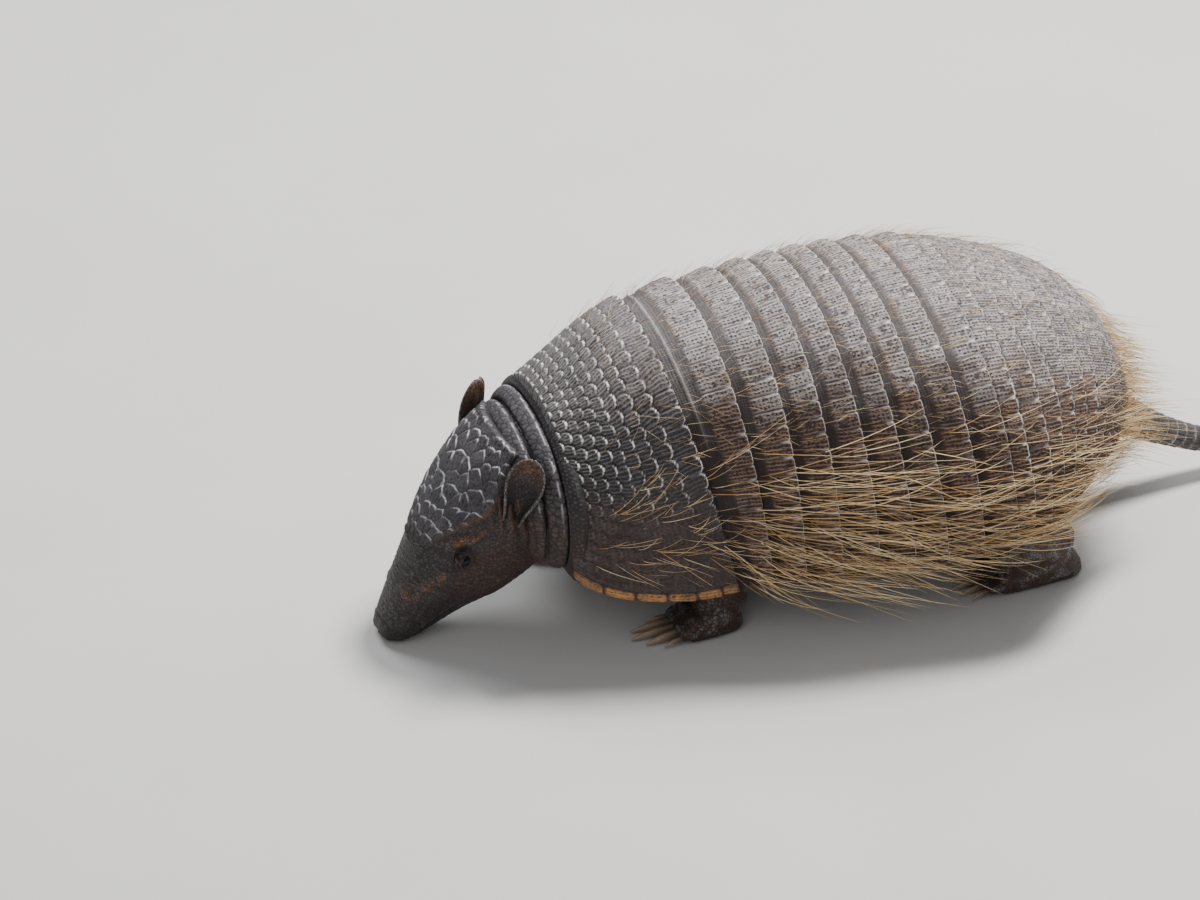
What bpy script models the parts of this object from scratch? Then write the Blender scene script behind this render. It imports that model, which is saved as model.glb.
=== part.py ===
"""A large hairy armadillo, life size, as a still model in a walking stance.

The animal faces -X with its left side at -Y, and its feet stand on z = 0.
Lengths are metres. The trunk is a row of leaning sections between a dorsal line and a
base line at the widest part of each flank. Armour, coat and trunk are all offsets of
that one surface, so they follow each other with an even gap.
"""

from math import cos, pi, radians, sin

import bmesh
import bpy
import numpy as np

# ---------------------------------------------------------------- driving dimensions
ORIGIN_X = 0.167          # from the front of the shoulder shield back to the box's middle
GAP = 0.0003              # clearance between neighbouring pieces
ARMOUR = 0.0026           # thickness of the bony plates
LIP = 0.0011              # how far a band's rear edge stands over the next one
BAND_SLIT = 0.012         # half the gap between two bands, in stations

# Stations along the trunk: (x, z) on the dorsal line, (x, z) on the base line, half width.
TRUNK_STATIONS = (
    (0.0066, 0.1085, 0.0066, 0.0525, 0.0535),   # behind the neck
    (0.0470, 0.1380, 0.0690, 0.0510, 0.0625),   # shoulders
    (0.0990, 0.1435, 0.1060, 0.0505, 0.0725),   # first free bands
    (0.1565, 0.1425, 0.1670, 0.0525, 0.0830),   # loin
    (0.2110, 0.1310, 0.2130, 0.0575, 0.0885),   # hips
    (0.2620, 0.1090, 0.2370, 0.0590, 0.0750),   # rump
    (0.2785, 0.0775, 0.2640, 0.0590, 0.0440),   # above the tail
    (0.2795, 0.0590, 0.2785, 0.0575, 0.0040),   # tail root
)
SECTION_POWER = 2.2       # 2 is an ellipse; a little more squares the flanks
BELLY_Z = 0.0250          # lowest line of the belly
LAST_STATION = len(TRUNK_STATIONS) - 1
TRUNK_END = 6.40          # station where the flesh gives way to the tail's root
HIP_SHIELD_END = 6.60
RUMP_INSET = 0.0026       # more room under the tightly curved rump
RUMP_FROM, RUMP_OVER = 4.4, 1.4         # where that room begins, and how soon it is full, in stations

# Rear edges of the shoulder shield and of the eight free bands, in stations.
SHOULDER_SHIELD_END = 1.15
BAND_ENDS = (1.65, 2.02, 2.30, 2.55, 2.79, 3.04, 3.35, 3.67)
# How far the armour reaches below the widest line: station, angle.
EDGE_ANGLES = ((0.0, 0.08), (0.23, 0.22), (0.70, 0.26), (1.15, 0.18), (2.0, 0.14), (3.0, 0.12), (4.4, 0.10),
               (6.0, 0.01), (7.0, 0.01))

# Coat: a fringe along each flank, round to the tail.
COAT_START = 1.25         # station where the fringe begins
COAT_TOP_ANGLE = 0.62     # its upper limit on the flank
COAT_TIP_Z = 0.0350       # height of its tips above the ground
COAT_FLANK = 0.0075       # thickness on the flank
COAT_RUMP = 0.0130        # thickness at the rump
COAT_EDGE = 0.0008        # thickness where it runs out
COAT_END = LAST_STATION - 0.42
COAT_TOP_AT_RUMP = 1.46   # its upper limit behind, as an angle
COAT_BODY_SHARE = 0.6     # share of the fringe that lies on the flank; the rest hangs free
COAT_FRONT_RISE = 0.012   # how much higher its tips stand at the front
COAT_FRONT_TO, COAT_FRONT_OVER = 2.4, 1.1     # where that rise has ended, and over how many stations
COAT_FILL_OVER = 0.9      # stations in which the fringe reaches its full thickness
COAT_ROUND_FROM, COAT_ROUND_OVER = 4.6, 1.2   # where it begins to climb round the rump

# Head, in its own frame: distance ahead of the occiput, then height above its top line.
HEAD_PIVOT = (-0.0125, 0.0, 0.1005)
HEAD_PITCH = 55.0
HEAD_STATIONS = (         # distance, top, bottom, half width
    (0.000, 0.0000, -0.0500, 0.0285),
    (0.016, 0.0032, -0.0545, 0.0310),
    (0.034, 0.0040, -0.0555, 0.0300),
    (0.052, 0.0030, -0.0528, 0.0265),
    (0.067, 0.0006, -0.0475, 0.0215),
    (0.080, -0.0020, -0.0392, 0.0170),
    (0.092, -0.0048, -0.0325, 0.0143),
    (0.101, -0.0073, -0.0275, 0.0126),
    (0.1065, -0.0088, -0.0226, 0.0110),
    (0.1090, -0.0100, -0.0192, 0.0088),
)
HEAD_POWER = 2.25
HEAD_MIDDLE = 0.42        # the widest line lies this share of the way down the section
MOUTH = ((0.0580, -0.0365), (0.0990, -0.0226))    # corner and front of the mouth line
CUTTER_REACH = 0.08       # half width of the blocks that part the head, past its sides
NECK_CUT_LEAN = 0.10      # the head's rear face leans back by this much of its height
EYE_AT = (0.0547, 0.0232, -0.0126)      # distance, side, height
EYE_RADIUS = 0.0043
HEAD_SHIELD = (           # distance, lower limit as an angle from the side
    (0.0040, 0.98),
    (0.0180, 0.78),
    (0.0360, 0.50),
    (0.0540, 0.62),
    (0.0680, 1.02),
)
HEAD_SHIELD_THICK = 0.0016
EAR_ROOT = (-0.0140, -0.0325, 0.0730)   # left ear, measured like the trunk
EAR_AXIS = (0.22, -0.19, 0.957)
EAR_FACING = (-0.62, -0.78, 0.00)
EAR_LENGTH = 0.0310
EAR_WIDTH = 0.0165
EAR_CUP = 0.0055
EAR_THICK = 0.0012

# Neck, between the head's rear face (share 0) and the trunk (share 1).
NECK_ENDS = (             # middle x, top z, bottom z, half width
    (-0.0090, 0.0995, 0.0350, 0.0325),
    (0.0060, 0.1055, 0.0300, 0.0500),
)
NUCHAL_BANDS = ((0.06, 0.46), (0.54, 0.95))
NUCHAL_THICK = 0.0018
NUCHAL_LIP = 0.0006        # how far a small band's rear edge stands up
NUCHAL_GROWTH = 0.0010     # clearance kept over the small bands

# Tail: (x, z, radius) along its middle line.
TAIL_STATIONS = (
    (0.2715, 0.0515, 0.0120),
    (0.2870, 0.0410, 0.0090),
    (0.3070, 0.0282, 0.0066),
    (0.3330, 0.0163, 0.0054),
    (0.3615, 0.0095, 0.0044),
    (0.3875, 0.0063, 0.0032),
    (0.4040, 0.0056, 0.0012),
)
TAIL_SPLIT = 3            # the station where the two lengths of the tail part

# Feet: the sole's middle along the body, and its distance from the middle plane.
FORE_FEET = {"left": 0.0720, "right": 0.0300}
HIND_FEET = {"left": 0.2210, "right": 0.1780}
FORE_SIDE, HIND_SIDE = 0.0430, 0.0540
SHOULDER = (0.0640, 0.0330, 0.0640)
HIP = (0.2080, 0.0460, 0.0680)
FORE_FOOT = (0.0310, 0.0230, 0.0150)    # length, width, height of the foot without claws
HIND_FOOT = (0.0480, 0.0240, 0.0160)
FORE_CLAWS = (0.0110, 0.0200, 0.0220, 0.0165, 0.0090)   # inner to outer digit
HIND_CLAWS = (0.0090, 0.0130, 0.0145, 0.0125, 0.0085)
CLAW_THICK = 0.0052
CLAW_BEND = 0.9            # turn of a claw from root to tip, in radians
CLAW_TIP_Z = 0.0024
CLAW_FULL = 0.0160         # claws shorter than this are thinner in proportion
CLAW_DIP = 0.45            # how much a claw's rings lean with its bend
CLAW_ROOT_SHARE = 0.27     # height of a claw's root, as a share of the foot's height
DIGIT_SPREAD = 0.78        # share of the foot's width from the first digit to the last
DIGIT_SLANT = 0.28
# Foot profile from heel to toes: share of the length, of the width and of the height.
FOOT_PROFILE = ((0.0, 0.45, 0.50), (0.10, 0.72, 0.80), (0.35, 0.92, 1.00), (0.65, 1.00, 0.86),
                (0.90, 0.98, 0.66), (1.0, 0.90, 0.52))
# Legs: radii from body to ankle, then the middle and last joint above the sole's centre.
FORE_RADII, HIND_RADII = (0.0180, 0.0130, 0.0098), (0.0250, 0.0190, 0.0105)
WRIST, ELBOW_BACK, ELBOW_IN, ELBOW_Z = (0.0070, 0.0120), 0.0100, 0.0020, 0.0330
ANKLE, KNEE_AHEAD, KNEE_Z = (0.0130, 0.0130), 0.0040, 0.0370

COLOURS = {
    "armour": ((0.155, 0.125, 0.105, 1.0), 0.72),
    "head_armour": ((0.075, 0.066, 0.062, 1.0), 0.70),
    "skin": ((0.105, 0.078, 0.066, 1.0), 0.80),
    "coat": ((0.430, 0.300, 0.180, 1.0), 0.75),
    "eye": ((0.012, 0.010, 0.009, 1.0), 0.15),
    "claw": ((0.260, 0.200, 0.140, 1.0), 0.50),
}


# ---------------------------------------------------------------- curves and surfaces
def smooth(knots, values, at):
    """Piecewise cubic through (knots, values); values may hold several columns."""
    knots, values, at = np.asarray(knots, float), np.asarray(values, float), np.asarray(at, float)
    slopes = np.gradient(values, knots, axis=0)
    cell = np.clip(np.searchsorted(knots, at, side="right") - 1, 0, len(knots) - 2)
    width = knots[cell + 1] - knots[cell]
    t = (at - knots[cell]) / width
    if values.ndim > 1:
        t, width = t[..., None], width[..., None]
    t2, t3 = t * t, t * t * t
    return ((2 * t3 - 3 * t2 + 1) * values[cell] + (t3 - 2 * t2 + t) * width * slopes[cell]
            + (3 * t2 - 2 * t3) * values[cell + 1] + (t3 - t2) * width * slopes[cell + 1])


def power(value, exponent):
    """Signed power, which turns a cosine and sine pair into a superellipse."""
    return np.sign(value) * np.abs(value) ** exponent


def ease(value):
    """0 below 0, 1 above 1, and a smooth rise between."""
    value = np.clip(value, 0, 1)
    return value * value * (3 - 2 * value)


def trunk_surface(station, angle):
    """Points of the armour's outer surface. Angle 0 is the left flank, pi the right one."""
    station, angle = np.broadcast_arrays(np.asarray(station, float), np.asarray(angle, float))
    row = smooth(range(len(TRUNK_STATIONS)), TRUNK_STATIONS, station)
    across = power(np.cos(angle), 2 / SECTION_POWER)
    along = power(np.sin(angle), 2 / SECTION_POWER)
    x = row[..., 2] + along * (row[..., 0] - row[..., 2])
    z = row[..., 3] + along * (row[..., 1] - row[..., 3])
    return np.stack([x - ORIGIN_X, -row[..., 4] * across, z], axis=-1)


def trunk_normal(station, angle):
    """Outward unit normal of trunk_surface, from two central differences."""
    step = 1e-3
    low, high = np.maximum(station - step, 0), np.minimum(station + step, LAST_STATION)
    tangent_s = trunk_surface(high, angle) - trunk_surface(low, angle)
    tangent_a = trunk_surface(station, angle + step) - trunk_surface(station, angle - step)
    normal = np.cross(tangent_s, tangent_a)
    return normal / np.linalg.norm(normal, axis=-1, keepdims=True)


def edge_angle(station):
    """Lower limit of the armour on the flank, deeper at the shoulders."""
    return -smooth(*zip(*EDGE_ANGLES), station)


def head_point(distance, side, height):
    """A point of the head's own frame in the world."""
    pitch = radians(HEAD_PITCH)
    x = HEAD_PIVOT[0] - ORIGIN_X - distance * cos(pitch) - height * sin(pitch)
    z = HEAD_PIVOT[2] - distance * sin(pitch) + height * cos(pitch)
    return np.stack(np.broadcast_arrays(x, side, z), axis=-1)


def head_surface(distance, angle, inset=0.0):
    """Points of the head. Angle 0 is its left side and pi / 2 its top."""
    distance, angle = np.broadcast_arrays(np.asarray(distance, float), np.asarray(angle, float))
    knots = [row[0] for row in HEAD_STATIONS]
    row = smooth(knots, [row[1:] for row in HEAD_STATIONS], distance)
    middle = HEAD_MIDDLE * row[..., 1] + (1 - HEAD_MIDDLE) * row[..., 0]
    reach = np.where(np.sin(angle) > 0, row[..., 0] - middle, middle - row[..., 1]) - inset
    side = -(row[..., 2] - inset) * power(np.cos(angle), 2 / HEAD_POWER)
    return head_point(distance, side, middle + reach * power(np.sin(angle), 2 / HEAD_POWER))


# ---------------------------------------------------------------- building helpers
def new_collection(name):
    """An empty collection in the scene, made anew."""
    old = bpy.data.collections.get(name)
    if old:
        bpy.data.collections.remove(old)
    collection = bpy.data.collections.new(name)
    bpy.context.scene.collection.children.link(collection)
    return collection


def material_for(name, kind):
    """A Principled material of the piece's own, in its kind's colour and roughness."""
    colour, roughness = COLOURS[kind]
    material = bpy.data.materials.new(name)
    material.use_nodes = True
    shader = material.node_tree.nodes["Principled BSDF"]
    shader.inputs["Base Color"].default_value = colour
    shader.inputs["Roughness"].default_value = roughness
    shader.inputs["Metallic"].default_value = 0.0
    return material


class Model:
    """The collection of pieces and the collection of cutters."""

    def __init__(self):
        self.parts = new_collection("armadillo")
        self.cutters = new_collection("cutters")

    def add(self, name, bm, kind):
        """Turn a bmesh into a piece; kind None makes a hidden cutter."""
        bmesh.ops.recalc_face_normals(bm, faces=bm.faces)
        mesh = bpy.data.meshes.new(name)
        bm.to_mesh(mesh)
        bm.free()
        obj = bpy.data.objects.new(name, mesh)
        if kind is None:
            self.cutters.objects.link(obj)
            obj.hide_render = True
            obj.display_type = "WIRE"
            return obj
        mesh.shade_smooth()
        mesh.set_sharp_from_angle(angle=radians(40))
        mesh.materials.append(material_for(name, kind))
        self.parts.objects.link(obj)
        return obj


def loft(rings):
    """A closed solid through rings of equal length, each end closed by a fan."""
    rings = [np.asarray(ring, float) for ring in rings]
    bm = bmesh.new()
    rows = [[bm.verts.new(point) for point in ring] for ring in rings]
    count = len(rows[0])
    for first, second in zip(rows, rows[1:]):
        for i in range(count):
            j = (i + 1) % count
            bm.faces.new((first[i], first[j], second[j], second[i]))
    for row in (rows[0], rows[-1]):
        hub = bm.verts.new(np.mean([v.co for v in row], axis=0))
        for i in range(count):
            bm.faces.new((row[i], row[(i + 1) % count], hub))
    return bm


def grid(points):
    """An open sheet of quads over a (rows, columns, 3) array."""
    bm = bmesh.new()
    rows = [[bm.verts.new(point) for point in line] for line in points]
    for upper, lower in zip(rows, rows[1:]):
        for i in range(len(upper) - 1):
            bm.faces.new((upper[i], upper[i + 1], lower[i + 1], lower[i]))
    return bm


def between(outer, inner):
    """A closed solid between two sheets of the same size."""
    bm = grid(outer)
    rows, columns = outer.shape[:2]
    front = list(bm.verts)
    back = [bm.verts.new(point) for point in inner.reshape(-1, 3)]

    def at(side, r, c):
        return side[r * columns + c]

    for r in range(rows - 1):
        for c in range(columns - 1):
            bm.faces.new([at(back, *rc) for rc in ((r, c), (r + 1, c), (r + 1, c + 1), (r, c + 1))])
    border = ([(0, c) for c in range(columns)] + [(r, columns - 1) for r in range(1, rows)]
              + [(rows - 1, c) for c in range(columns - 2, -1, -1)] + [(r, 0) for r in range(rows - 2, 0, -1)])
    for first, second in zip(border, border[1:] + border[:1]):
        bm.faces.new((at(front, *first), at(back, *first), at(back, *second), at(front, *second)))
    return bm


def solidify(obj, thickness):
    """Give an open sheet its thickness, inwards from the drawn face."""
    modifier = obj.modifiers.new("thickness", "SOLIDIFY")
    modifier.thickness = thickness
    modifier.offset = -1.0
    return obj


def cut(obj, cutter):
    """Take the cutter's volume out of a piece."""
    modifier = obj.modifiers.new("cut", "BOOLEAN")
    modifier.operation = "DIFFERENCE"
    modifier.solver = "EXACT"
    modifier.object = cutter
    return obj


def mirrored(points, side):
    """Points drawn for the left side, or their mirror image for the right one."""
    points = np.array(points, float)
    if side == "right":
        points[..., 1] *= -1
        points = points[::-1] if points.ndim == 2 else points[:, ::-1]
    return points


def tube_ring(centre, direction, radius, count=14, flatten=1.0, lift=(0.0, 1.0, 0.0)):
    """A ring round a centre, square to a direction; flatten scales it across lift."""
    direction = np.asarray(direction, float) / np.linalg.norm(direction)
    side = np.asarray(lift, float) - np.dot(lift, direction) * direction
    side /= np.linalg.norm(side)
    other = np.cross(direction, side)
    turn = np.linspace(0, 2 * pi, count, endpoint=False)[:, None]
    return np.asarray(centre) + radius * (np.cos(turn) * side + flatten * np.sin(turn) * other)


# ---------------------------------------------------------------- trunk, neck and armour
def trunk_rings(inset, count=26, first=0.06):
    """Closed rings of the trunk: inset from the armour above, a shallow belly below."""
    rings = []
    turn = np.linspace(0, 2 * pi, count, endpoint=False)
    across = power(np.cos(turn), 2 / SECTION_POWER)
    along = power(np.sin(turn), 2 / SECTION_POWER)
    for station in np.linspace(first, TRUNK_END, 13):
        base_z = smooth(range(len(TRUNK_STATIONS)), TRUNK_STATIONS, station)[3]
        upper = np.clip(turn, 0.02, pi - 0.02)
        deeper = inset + RUMP_INSET * np.clip((station - RUMP_FROM) / RUMP_OVER, 0, 1)
        ring = trunk_surface(station, upper) - deeper * trunk_normal(station, upper)
        belly = BELLY_Z + (base_z - BELLY_Z) * (station / LAST_STATION) ** 4 + inset
        below = along < -1e-6
        ring[below, 0] = ring[0, 0]
        ring[below, 1] = (ring[0, 1] * across)[below]
        ring[below, 2] = (base_z + along * (base_z - belly))[below]
        rings.append(ring)
    return rings


def armour_sheet(start, end, rows, lip, columns=24):
    """The outer face of a shield or band between two stations, its rear edge raised."""
    stations = np.linspace(start, end, rows + 1)[:, None]
    share = np.linspace(0, 1, columns + 1)[None, :]
    low = edge_angle(stations)
    angle = low + share * (pi - 2 * low)
    lift = lip * ((stations - start) / (end - start)) ** 1.5
    return trunk_surface(stations, angle) + lift[..., None] * trunk_normal(stations, angle)


def build_armour(model):
    """Shoulder shield, eight free bands and hip shield, each a little apart."""
    sheets = {"scapular_shield": armour_sheet(0.0, SHOULDER_SHIELD_END - BAND_SLIT, 5, LIP)}
    start = SHOULDER_SHIELD_END + BAND_SLIT
    for number, end in enumerate(BAND_ENDS, 1):
        sheets[f"band_{number}"] = armour_sheet(start, end - BAND_SLIT, 1, LIP)
        start = end + BAND_SLIT
    sheets["pelvic_shield"] = armour_sheet(start, HIP_SHIELD_END, 7, 0.0)
    for name, sheet in sheets.items():
        solidify(model.add(name, grid(sheet), "armour"), ARMOUR)


def neck_surface(share, angle, inset=0.0):
    """Points of the neck between the head and the trunk."""
    share, angle = np.broadcast_arrays(np.asarray(share, float), np.asarray(angle, float))
    ends = np.array(NECK_ENDS)
    row = ends[0] + share[..., None] * (ends[1] - ends[0])
    middle, half_height = (row[..., 1] + row[..., 2]) / 2, (row[..., 1] - row[..., 2]) / 2 - inset
    rise = half_height * power(np.sin(angle), 2 / SECTION_POWER)
    side = -(row[..., 3] - inset) * power(np.cos(angle), 2 / SECTION_POWER)
    x = row[..., 0] - NECK_CUT_LEAN * (1 - share) * rise - ORIGIN_X
    return np.stack([x, side, middle + rise], axis=-1)


def neck_rings(inset):
    """Closed rings of the neck, inset from the outer face of the bands over it."""
    turn = np.linspace(0, 2 * pi, 26, endpoint=False)
    return [neck_surface(share, turn, inset) for share in (0.0, 0.5, 0.98)]


def build_neck(model):
    """The short neck and the two small bands that lie over it."""
    model.add("neck", loft(neck_rings(NUCHAL_THICK + 4 * GAP)), "skin")
    angle = np.linspace(-0.1, pi + 0.1, 21)[None, :]
    for number, (start, end) in enumerate(NUCHAL_BANDS, 1):
        share = np.linspace(start, end, 3)[:, None]
        sheet = neck_surface(share, angle, -NUCHAL_LIP * (share - start) / (end - start))
        solidify(model.add(f"nuchal_band_{number}", grid(sheet), "head_armour"), NUCHAL_THICK)


# ---------------------------------------------------------------- head
def head_rings(inset=0.0, count=22):
    """Closed rings of the whole head, from the occiput to the nose."""
    turn = np.linspace(0, 2 * pi, count, endpoint=False)
    distances = [row[0] for row in HEAD_STATIONS]
    steps = np.linspace(distances[0], distances[-1], 10)
    return [head_surface(step, turn, inset) for step in steps]


def mouth_wedge(shrink=0.0):
    """The space under the mouth line, as a closed block, and less by shrink all round."""
    (back, back_height), (front, front_height) = MOUTH
    side = CUTTER_REACH
    rings = []
    for distance, height in ((back + shrink, back_height - shrink), (front - shrink, front_height - shrink)):
        rings.append([head_point(distance, s, h) for s, h in
                      ((-side, height), (side, height), (side, -side), (-side, -side))])
    return loft(rings)


def rear_block(offset):
    """A block behind the head's rear face, moved ahead by offset."""
    rows = []
    reach = CUTTER_REACH
    for lift in (reach, -reach):
        x = NECK_ENDS[0][0] - ORIGIN_X - offset - NECK_CUT_LEAN * lift
        z = (NECK_ENDS[0][1] + NECK_ENDS[0][2]) / 2 + lift
        back = x + 1.5 * reach
        rows.append([(x, -reach, z), (x, reach, z), (back, reach, z), (back, -reach, z)])
    return loft(rows)


def build_head(model):
    """Head and lower jaw, parted at the mouth line, with sockets for the eyes."""
    distance, side, height = EYE_AT
    head = model.add("head", loft(head_rings()), "skin")
    jaw = model.add("lower_jaw", loft(head_rings()), "skin")
    cut(head, model.add("cut_mouth", mouth_wedge(), None))
    cut(head, model.add("cut_neck", rear_block(GAP), None))
    keep = jaw.modifiers.new("keep", "BOOLEAN")
    keep.operation = "INTERSECT"
    keep.solver = "EXACT"
    keep.object = model.add("keep_jaw", mouth_wedge(GAP), None)
    for name, sign in (("left", -1), ("right", 1)):
        at = head_point(distance, sign * side, height)
        for label, radius, kind in ((f"eye_{name}", EYE_RADIUS, "eye"), (f"socket_{name}", EYE_RADIUS + GAP, None)):
            bm = bmesh.new()
            bmesh.ops.create_uvsphere(bm, u_segments=10, v_segments=7, radius=radius)
            ball = model.add(label, bm, kind)
            ball.location = at
            if kind is None:
                cut(head, ball)


def build_head_shield(model):
    """The plated cap over the forehead, a thin shell that stands on the head."""
    knots, limits = zip(*HEAD_SHIELD)
    distance = np.linspace(knots[0], knots[-1], 7)[:, None]
    low = smooth(knots, limits, distance)
    angle = low + np.linspace(0, 1, 13)[None, :] * (pi - 2 * low)
    sheet = head_surface(distance, angle, -(HEAD_SHIELD_THICK + 3 * GAP))
    solidify(model.add("head_shield", grid(sheet[::-1]), "head_armour"), HEAD_SHIELD_THICK)


def build_ears(model):
    """Two cupped ears that stand up and outwards behind the cheeks."""
    along = np.linspace(0, 1, 7)[:, None]
    across = np.linspace(-1, 1, 7)[None, :]
    half = EAR_WIDTH / 2 * np.sqrt(np.maximum(1 - ((along - 0.52) / 0.56) ** 2, 0.02))
    axis = np.array(EAR_AXIS) / np.linalg.norm(EAR_AXIS)
    facing = np.array(EAR_FACING) - np.dot(EAR_FACING, axis) * axis
    facing /= np.linalg.norm(facing)
    broad = np.cross(axis, facing)
    root = np.array(EAR_ROOT) - (ORIGIN_X, 0, 0)
    cup = EAR_CUP * (across ** 2 - 1) * (1 - 0.5 * along)
    sheet = (root + along[..., None] * EAR_LENGTH * axis + (across * half)[..., None] * broad
             + cup[..., None] * facing)
    head_cutter = model.add("cut_ears", loft(head_rings(-GAP)), None)
    neck_cutter = model.add("cut_ears_neck", loft(neck_rings(-NUCHAL_GROWTH)), None)
    for side in ("left", "right"):
        ear = model.add(f"ear_{side}", grid(mirrored(sheet, side)), "skin")
        cut(cut(solidify(ear, EAR_THICK), head_cutter), neck_cutter)


# ---------------------------------------------------------------- tail, legs and feet
def build_tail(model, body):
    """The tail in two lengths, sinking from the rump to just above the ground."""
    steps = np.linspace(0, len(TAIL_STATIONS) - 1, 13)
    rows = smooth(range(len(TAIL_STATIONS)), TAIL_STATIONS, steps)
    heading = np.gradient(rows[:, :2], axis=0)

    def rings(first, last):
        return [tube_ring((x - ORIGIN_X, 0, z), (dx, 0, dz), radius, 12)
                for (x, z, radius), (dx, dz) in list(zip(rows, heading))[first:last]]

    split = 2 * TAIL_SPLIT
    cut(model.add("tail_base", loft(rings(0, split + 1)), "skin"), body)
    tip = rings(split, len(rows))
    forward = np.array((heading[split][0], 0, heading[split][1]))
    tip[0] = tip[0] + GAP * forward / np.linalg.norm(forward)
    model.add("tail_tip", loft(tip), "skin")


def foot_rings(x, y, size, grow=0.0):
    """Rings of a foot from heel to toes, flat underneath, grown by a small margin."""
    length, width, height = size
    turn = np.linspace(0, 2 * pi, 14, endpoint=False)
    rings = []
    for share, wide, tall in FOOT_PROFILE:
        reach = length * (share - 0.5) + grow * (2 * share - 1)
        side = (width * wide / 2 + grow) * power(np.cos(turn), 0.85)
        rise = (height * tall + grow) * (0.5 + 0.62 * power(np.sin(turn), 0.85))
        top = np.minimum(rise, height * tall + grow)
        ring = np.stack([np.full(len(turn), x - ORIGIN_X - reach), y - side, np.maximum(top, -grow)], axis=-1)
        rings.append(ring)
    return rings


def claw_rings(x, y, height, length, slant):
    """Rings of one claw, curving down from the toe to a blunt tip."""
    rings = []
    for share in (0.0, 0.5, 1.0):
        bend = CLAW_BEND * share
        centre = (x - ORIGIN_X - length * sin(bend) / CLAW_BEND * 1.05, y + slant * share * length,
                  height - (height - CLAW_TIP_Z) * (1 - cos(bend)) / (1 - cos(CLAW_BEND)))
        direction = (-cos(bend), slant, -CLAW_DIP * sin(bend))
        radius = CLAW_THICK / 2 * (1 - 0.72 * share ** 1.4) * min(1.0, length / CLAW_FULL)
        rings.append(tube_ring(centre, direction, radius, 7, 0.72, (0, 0, 1)))
    return rings


def build_limb(model, region, side, size, joints, claws, trunk_cutter):
    """One leg from the body to the ankle, its foot and its five claws."""
    sign = -1 if side == "left" else 1
    foot_x, foot_y, radii, points = joints
    y = sign * foot_y
    foot = foot_rings(foot_x, y, size)
    model.add(f"{region}_foot_{side}", loft(foot), "skin")
    cutter = model.add(f"cut_{region}_{side}", loft(foot_rings(foot_x, y, size, GAP)), None)
    knots = range(len(points))
    steps = np.linspace(0, len(points) - 1, 6)
    path = smooth(knots, points, steps) * (1, sign, 1) - (ORIGIN_X, 0, 0)
    heading = np.gradient(path, axis=0)
    thick = smooth(knots, radii, steps)
    rings = [tube_ring(c, d, r, 12, 1.15, (0, 1, 0)) for c, d, r in zip(path, heading, thick)]
    leg = model.add(f"{region}_leg_{side}", loft(rings), "skin")
    cut(cut(leg, trunk_cutter), cutter)
    length, width, height = size
    front = foot_x - length / 2 - GAP
    for digit, reach in enumerate(claws):
        share = digit / (len(claws) - 1) - 0.5
        across = y + sign * share * width * DIGIT_SPREAD
        slant = sign * share * DIGIT_SLANT
        bm = loft(claw_rings(front, across, height * CLAW_ROOT_SHARE, reach, slant))
        model.add(f"{region}_claw_{side}_{digit + 1}", bm, "claw")


def build_limbs(model, trunk_cutter):
    """Four legs in mid stride."""
    for side in ("left", "right"):
        x = FORE_FEET[side]
        wrist = (x + WRIST[0], FORE_SIDE, WRIST[1])
        elbow = (0.5 * (SHOULDER[0] + x) + ELBOW_BACK, 0.5 * (SHOULDER[1] + FORE_SIDE) - ELBOW_IN, ELBOW_Z)
        joints = (x, FORE_SIDE, FORE_RADII, (SHOULDER, elbow, wrist))
        build_limb(model, "fore", side, FORE_FOOT, joints, FORE_CLAWS, trunk_cutter)
        x = HIND_FEET[side]
        ankle = (x + ANKLE[0], HIND_SIDE, ANKLE[1])
        knee = (0.5 * (HIP[0] + x) - KNEE_AHEAD, HIND_SIDE, KNEE_Z)
        joints = (x, HIND_SIDE, HIND_RADII, (HIP, knee, ankle))
        build_limb(model, "hind", side, HIND_FOOT, joints, HIND_CLAWS, trunk_cutter)


# ---------------------------------------------------------------- coat
def build_coat(model):
    """The long hair of each flank and of the rump, as one fringe on each side."""
    station = np.linspace(COAT_START, COAT_END, 19)[:, None]
    level = np.linspace(0, 1, 8)[None, :]
    round_rump = ease((station - COAT_ROUND_FROM) / COAT_ROUND_OVER)
    top = COAT_TOP_ANGLE + (COAT_TOP_AT_RUMP - COAT_TOP_ANGLE) * round_rump
    angle = top * np.clip(1 - level / COAT_BODY_SHARE, 0, 1)
    on_body = trunk_surface(station, angle)
    tip_z = COAT_TIP_Z + COAT_FRONT_RISE * np.clip((COAT_FRONT_TO - station) / COAT_FRONT_OVER, 0, 1)
    fall = np.clip((level - COAT_BODY_SHARE) / (1 - COAT_BODY_SHARE), 0, 1)
    on_body[..., 2] -= fall * (on_body[..., 2] - tip_z)
    normal = trunk_normal(station, np.maximum(angle, 0.02))
    inner = on_body + (LIP + 4 * GAP) * normal
    depth = COAT_FLANK + (COAT_RUMP - COAT_FLANK) * round_rump
    depth = depth * np.clip((station - COAT_START) / COAT_FILL_OVER, 0, 1)
    outer = inner + (COAT_EDGE + depth * np.sin(pi * level ** 0.8) ** 0.8)[..., None] * normal
    for side in ("left", "right"):
        model.add(f"coat_{side}", between(mirrored(outer, side), mirrored(inner, side)), "coat")


# ---------------------------------------------------------------- main
def clear_scene():
    """Remove every object, mesh and material, so that each run starts alike."""
    for obj in list(bpy.data.objects):
        bpy.data.objects.remove(obj, do_unlink=True)
    for block in list(bpy.data.meshes):
        bpy.data.meshes.remove(block)
    for block in list(bpy.data.materials):
        bpy.data.materials.remove(block)


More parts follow.
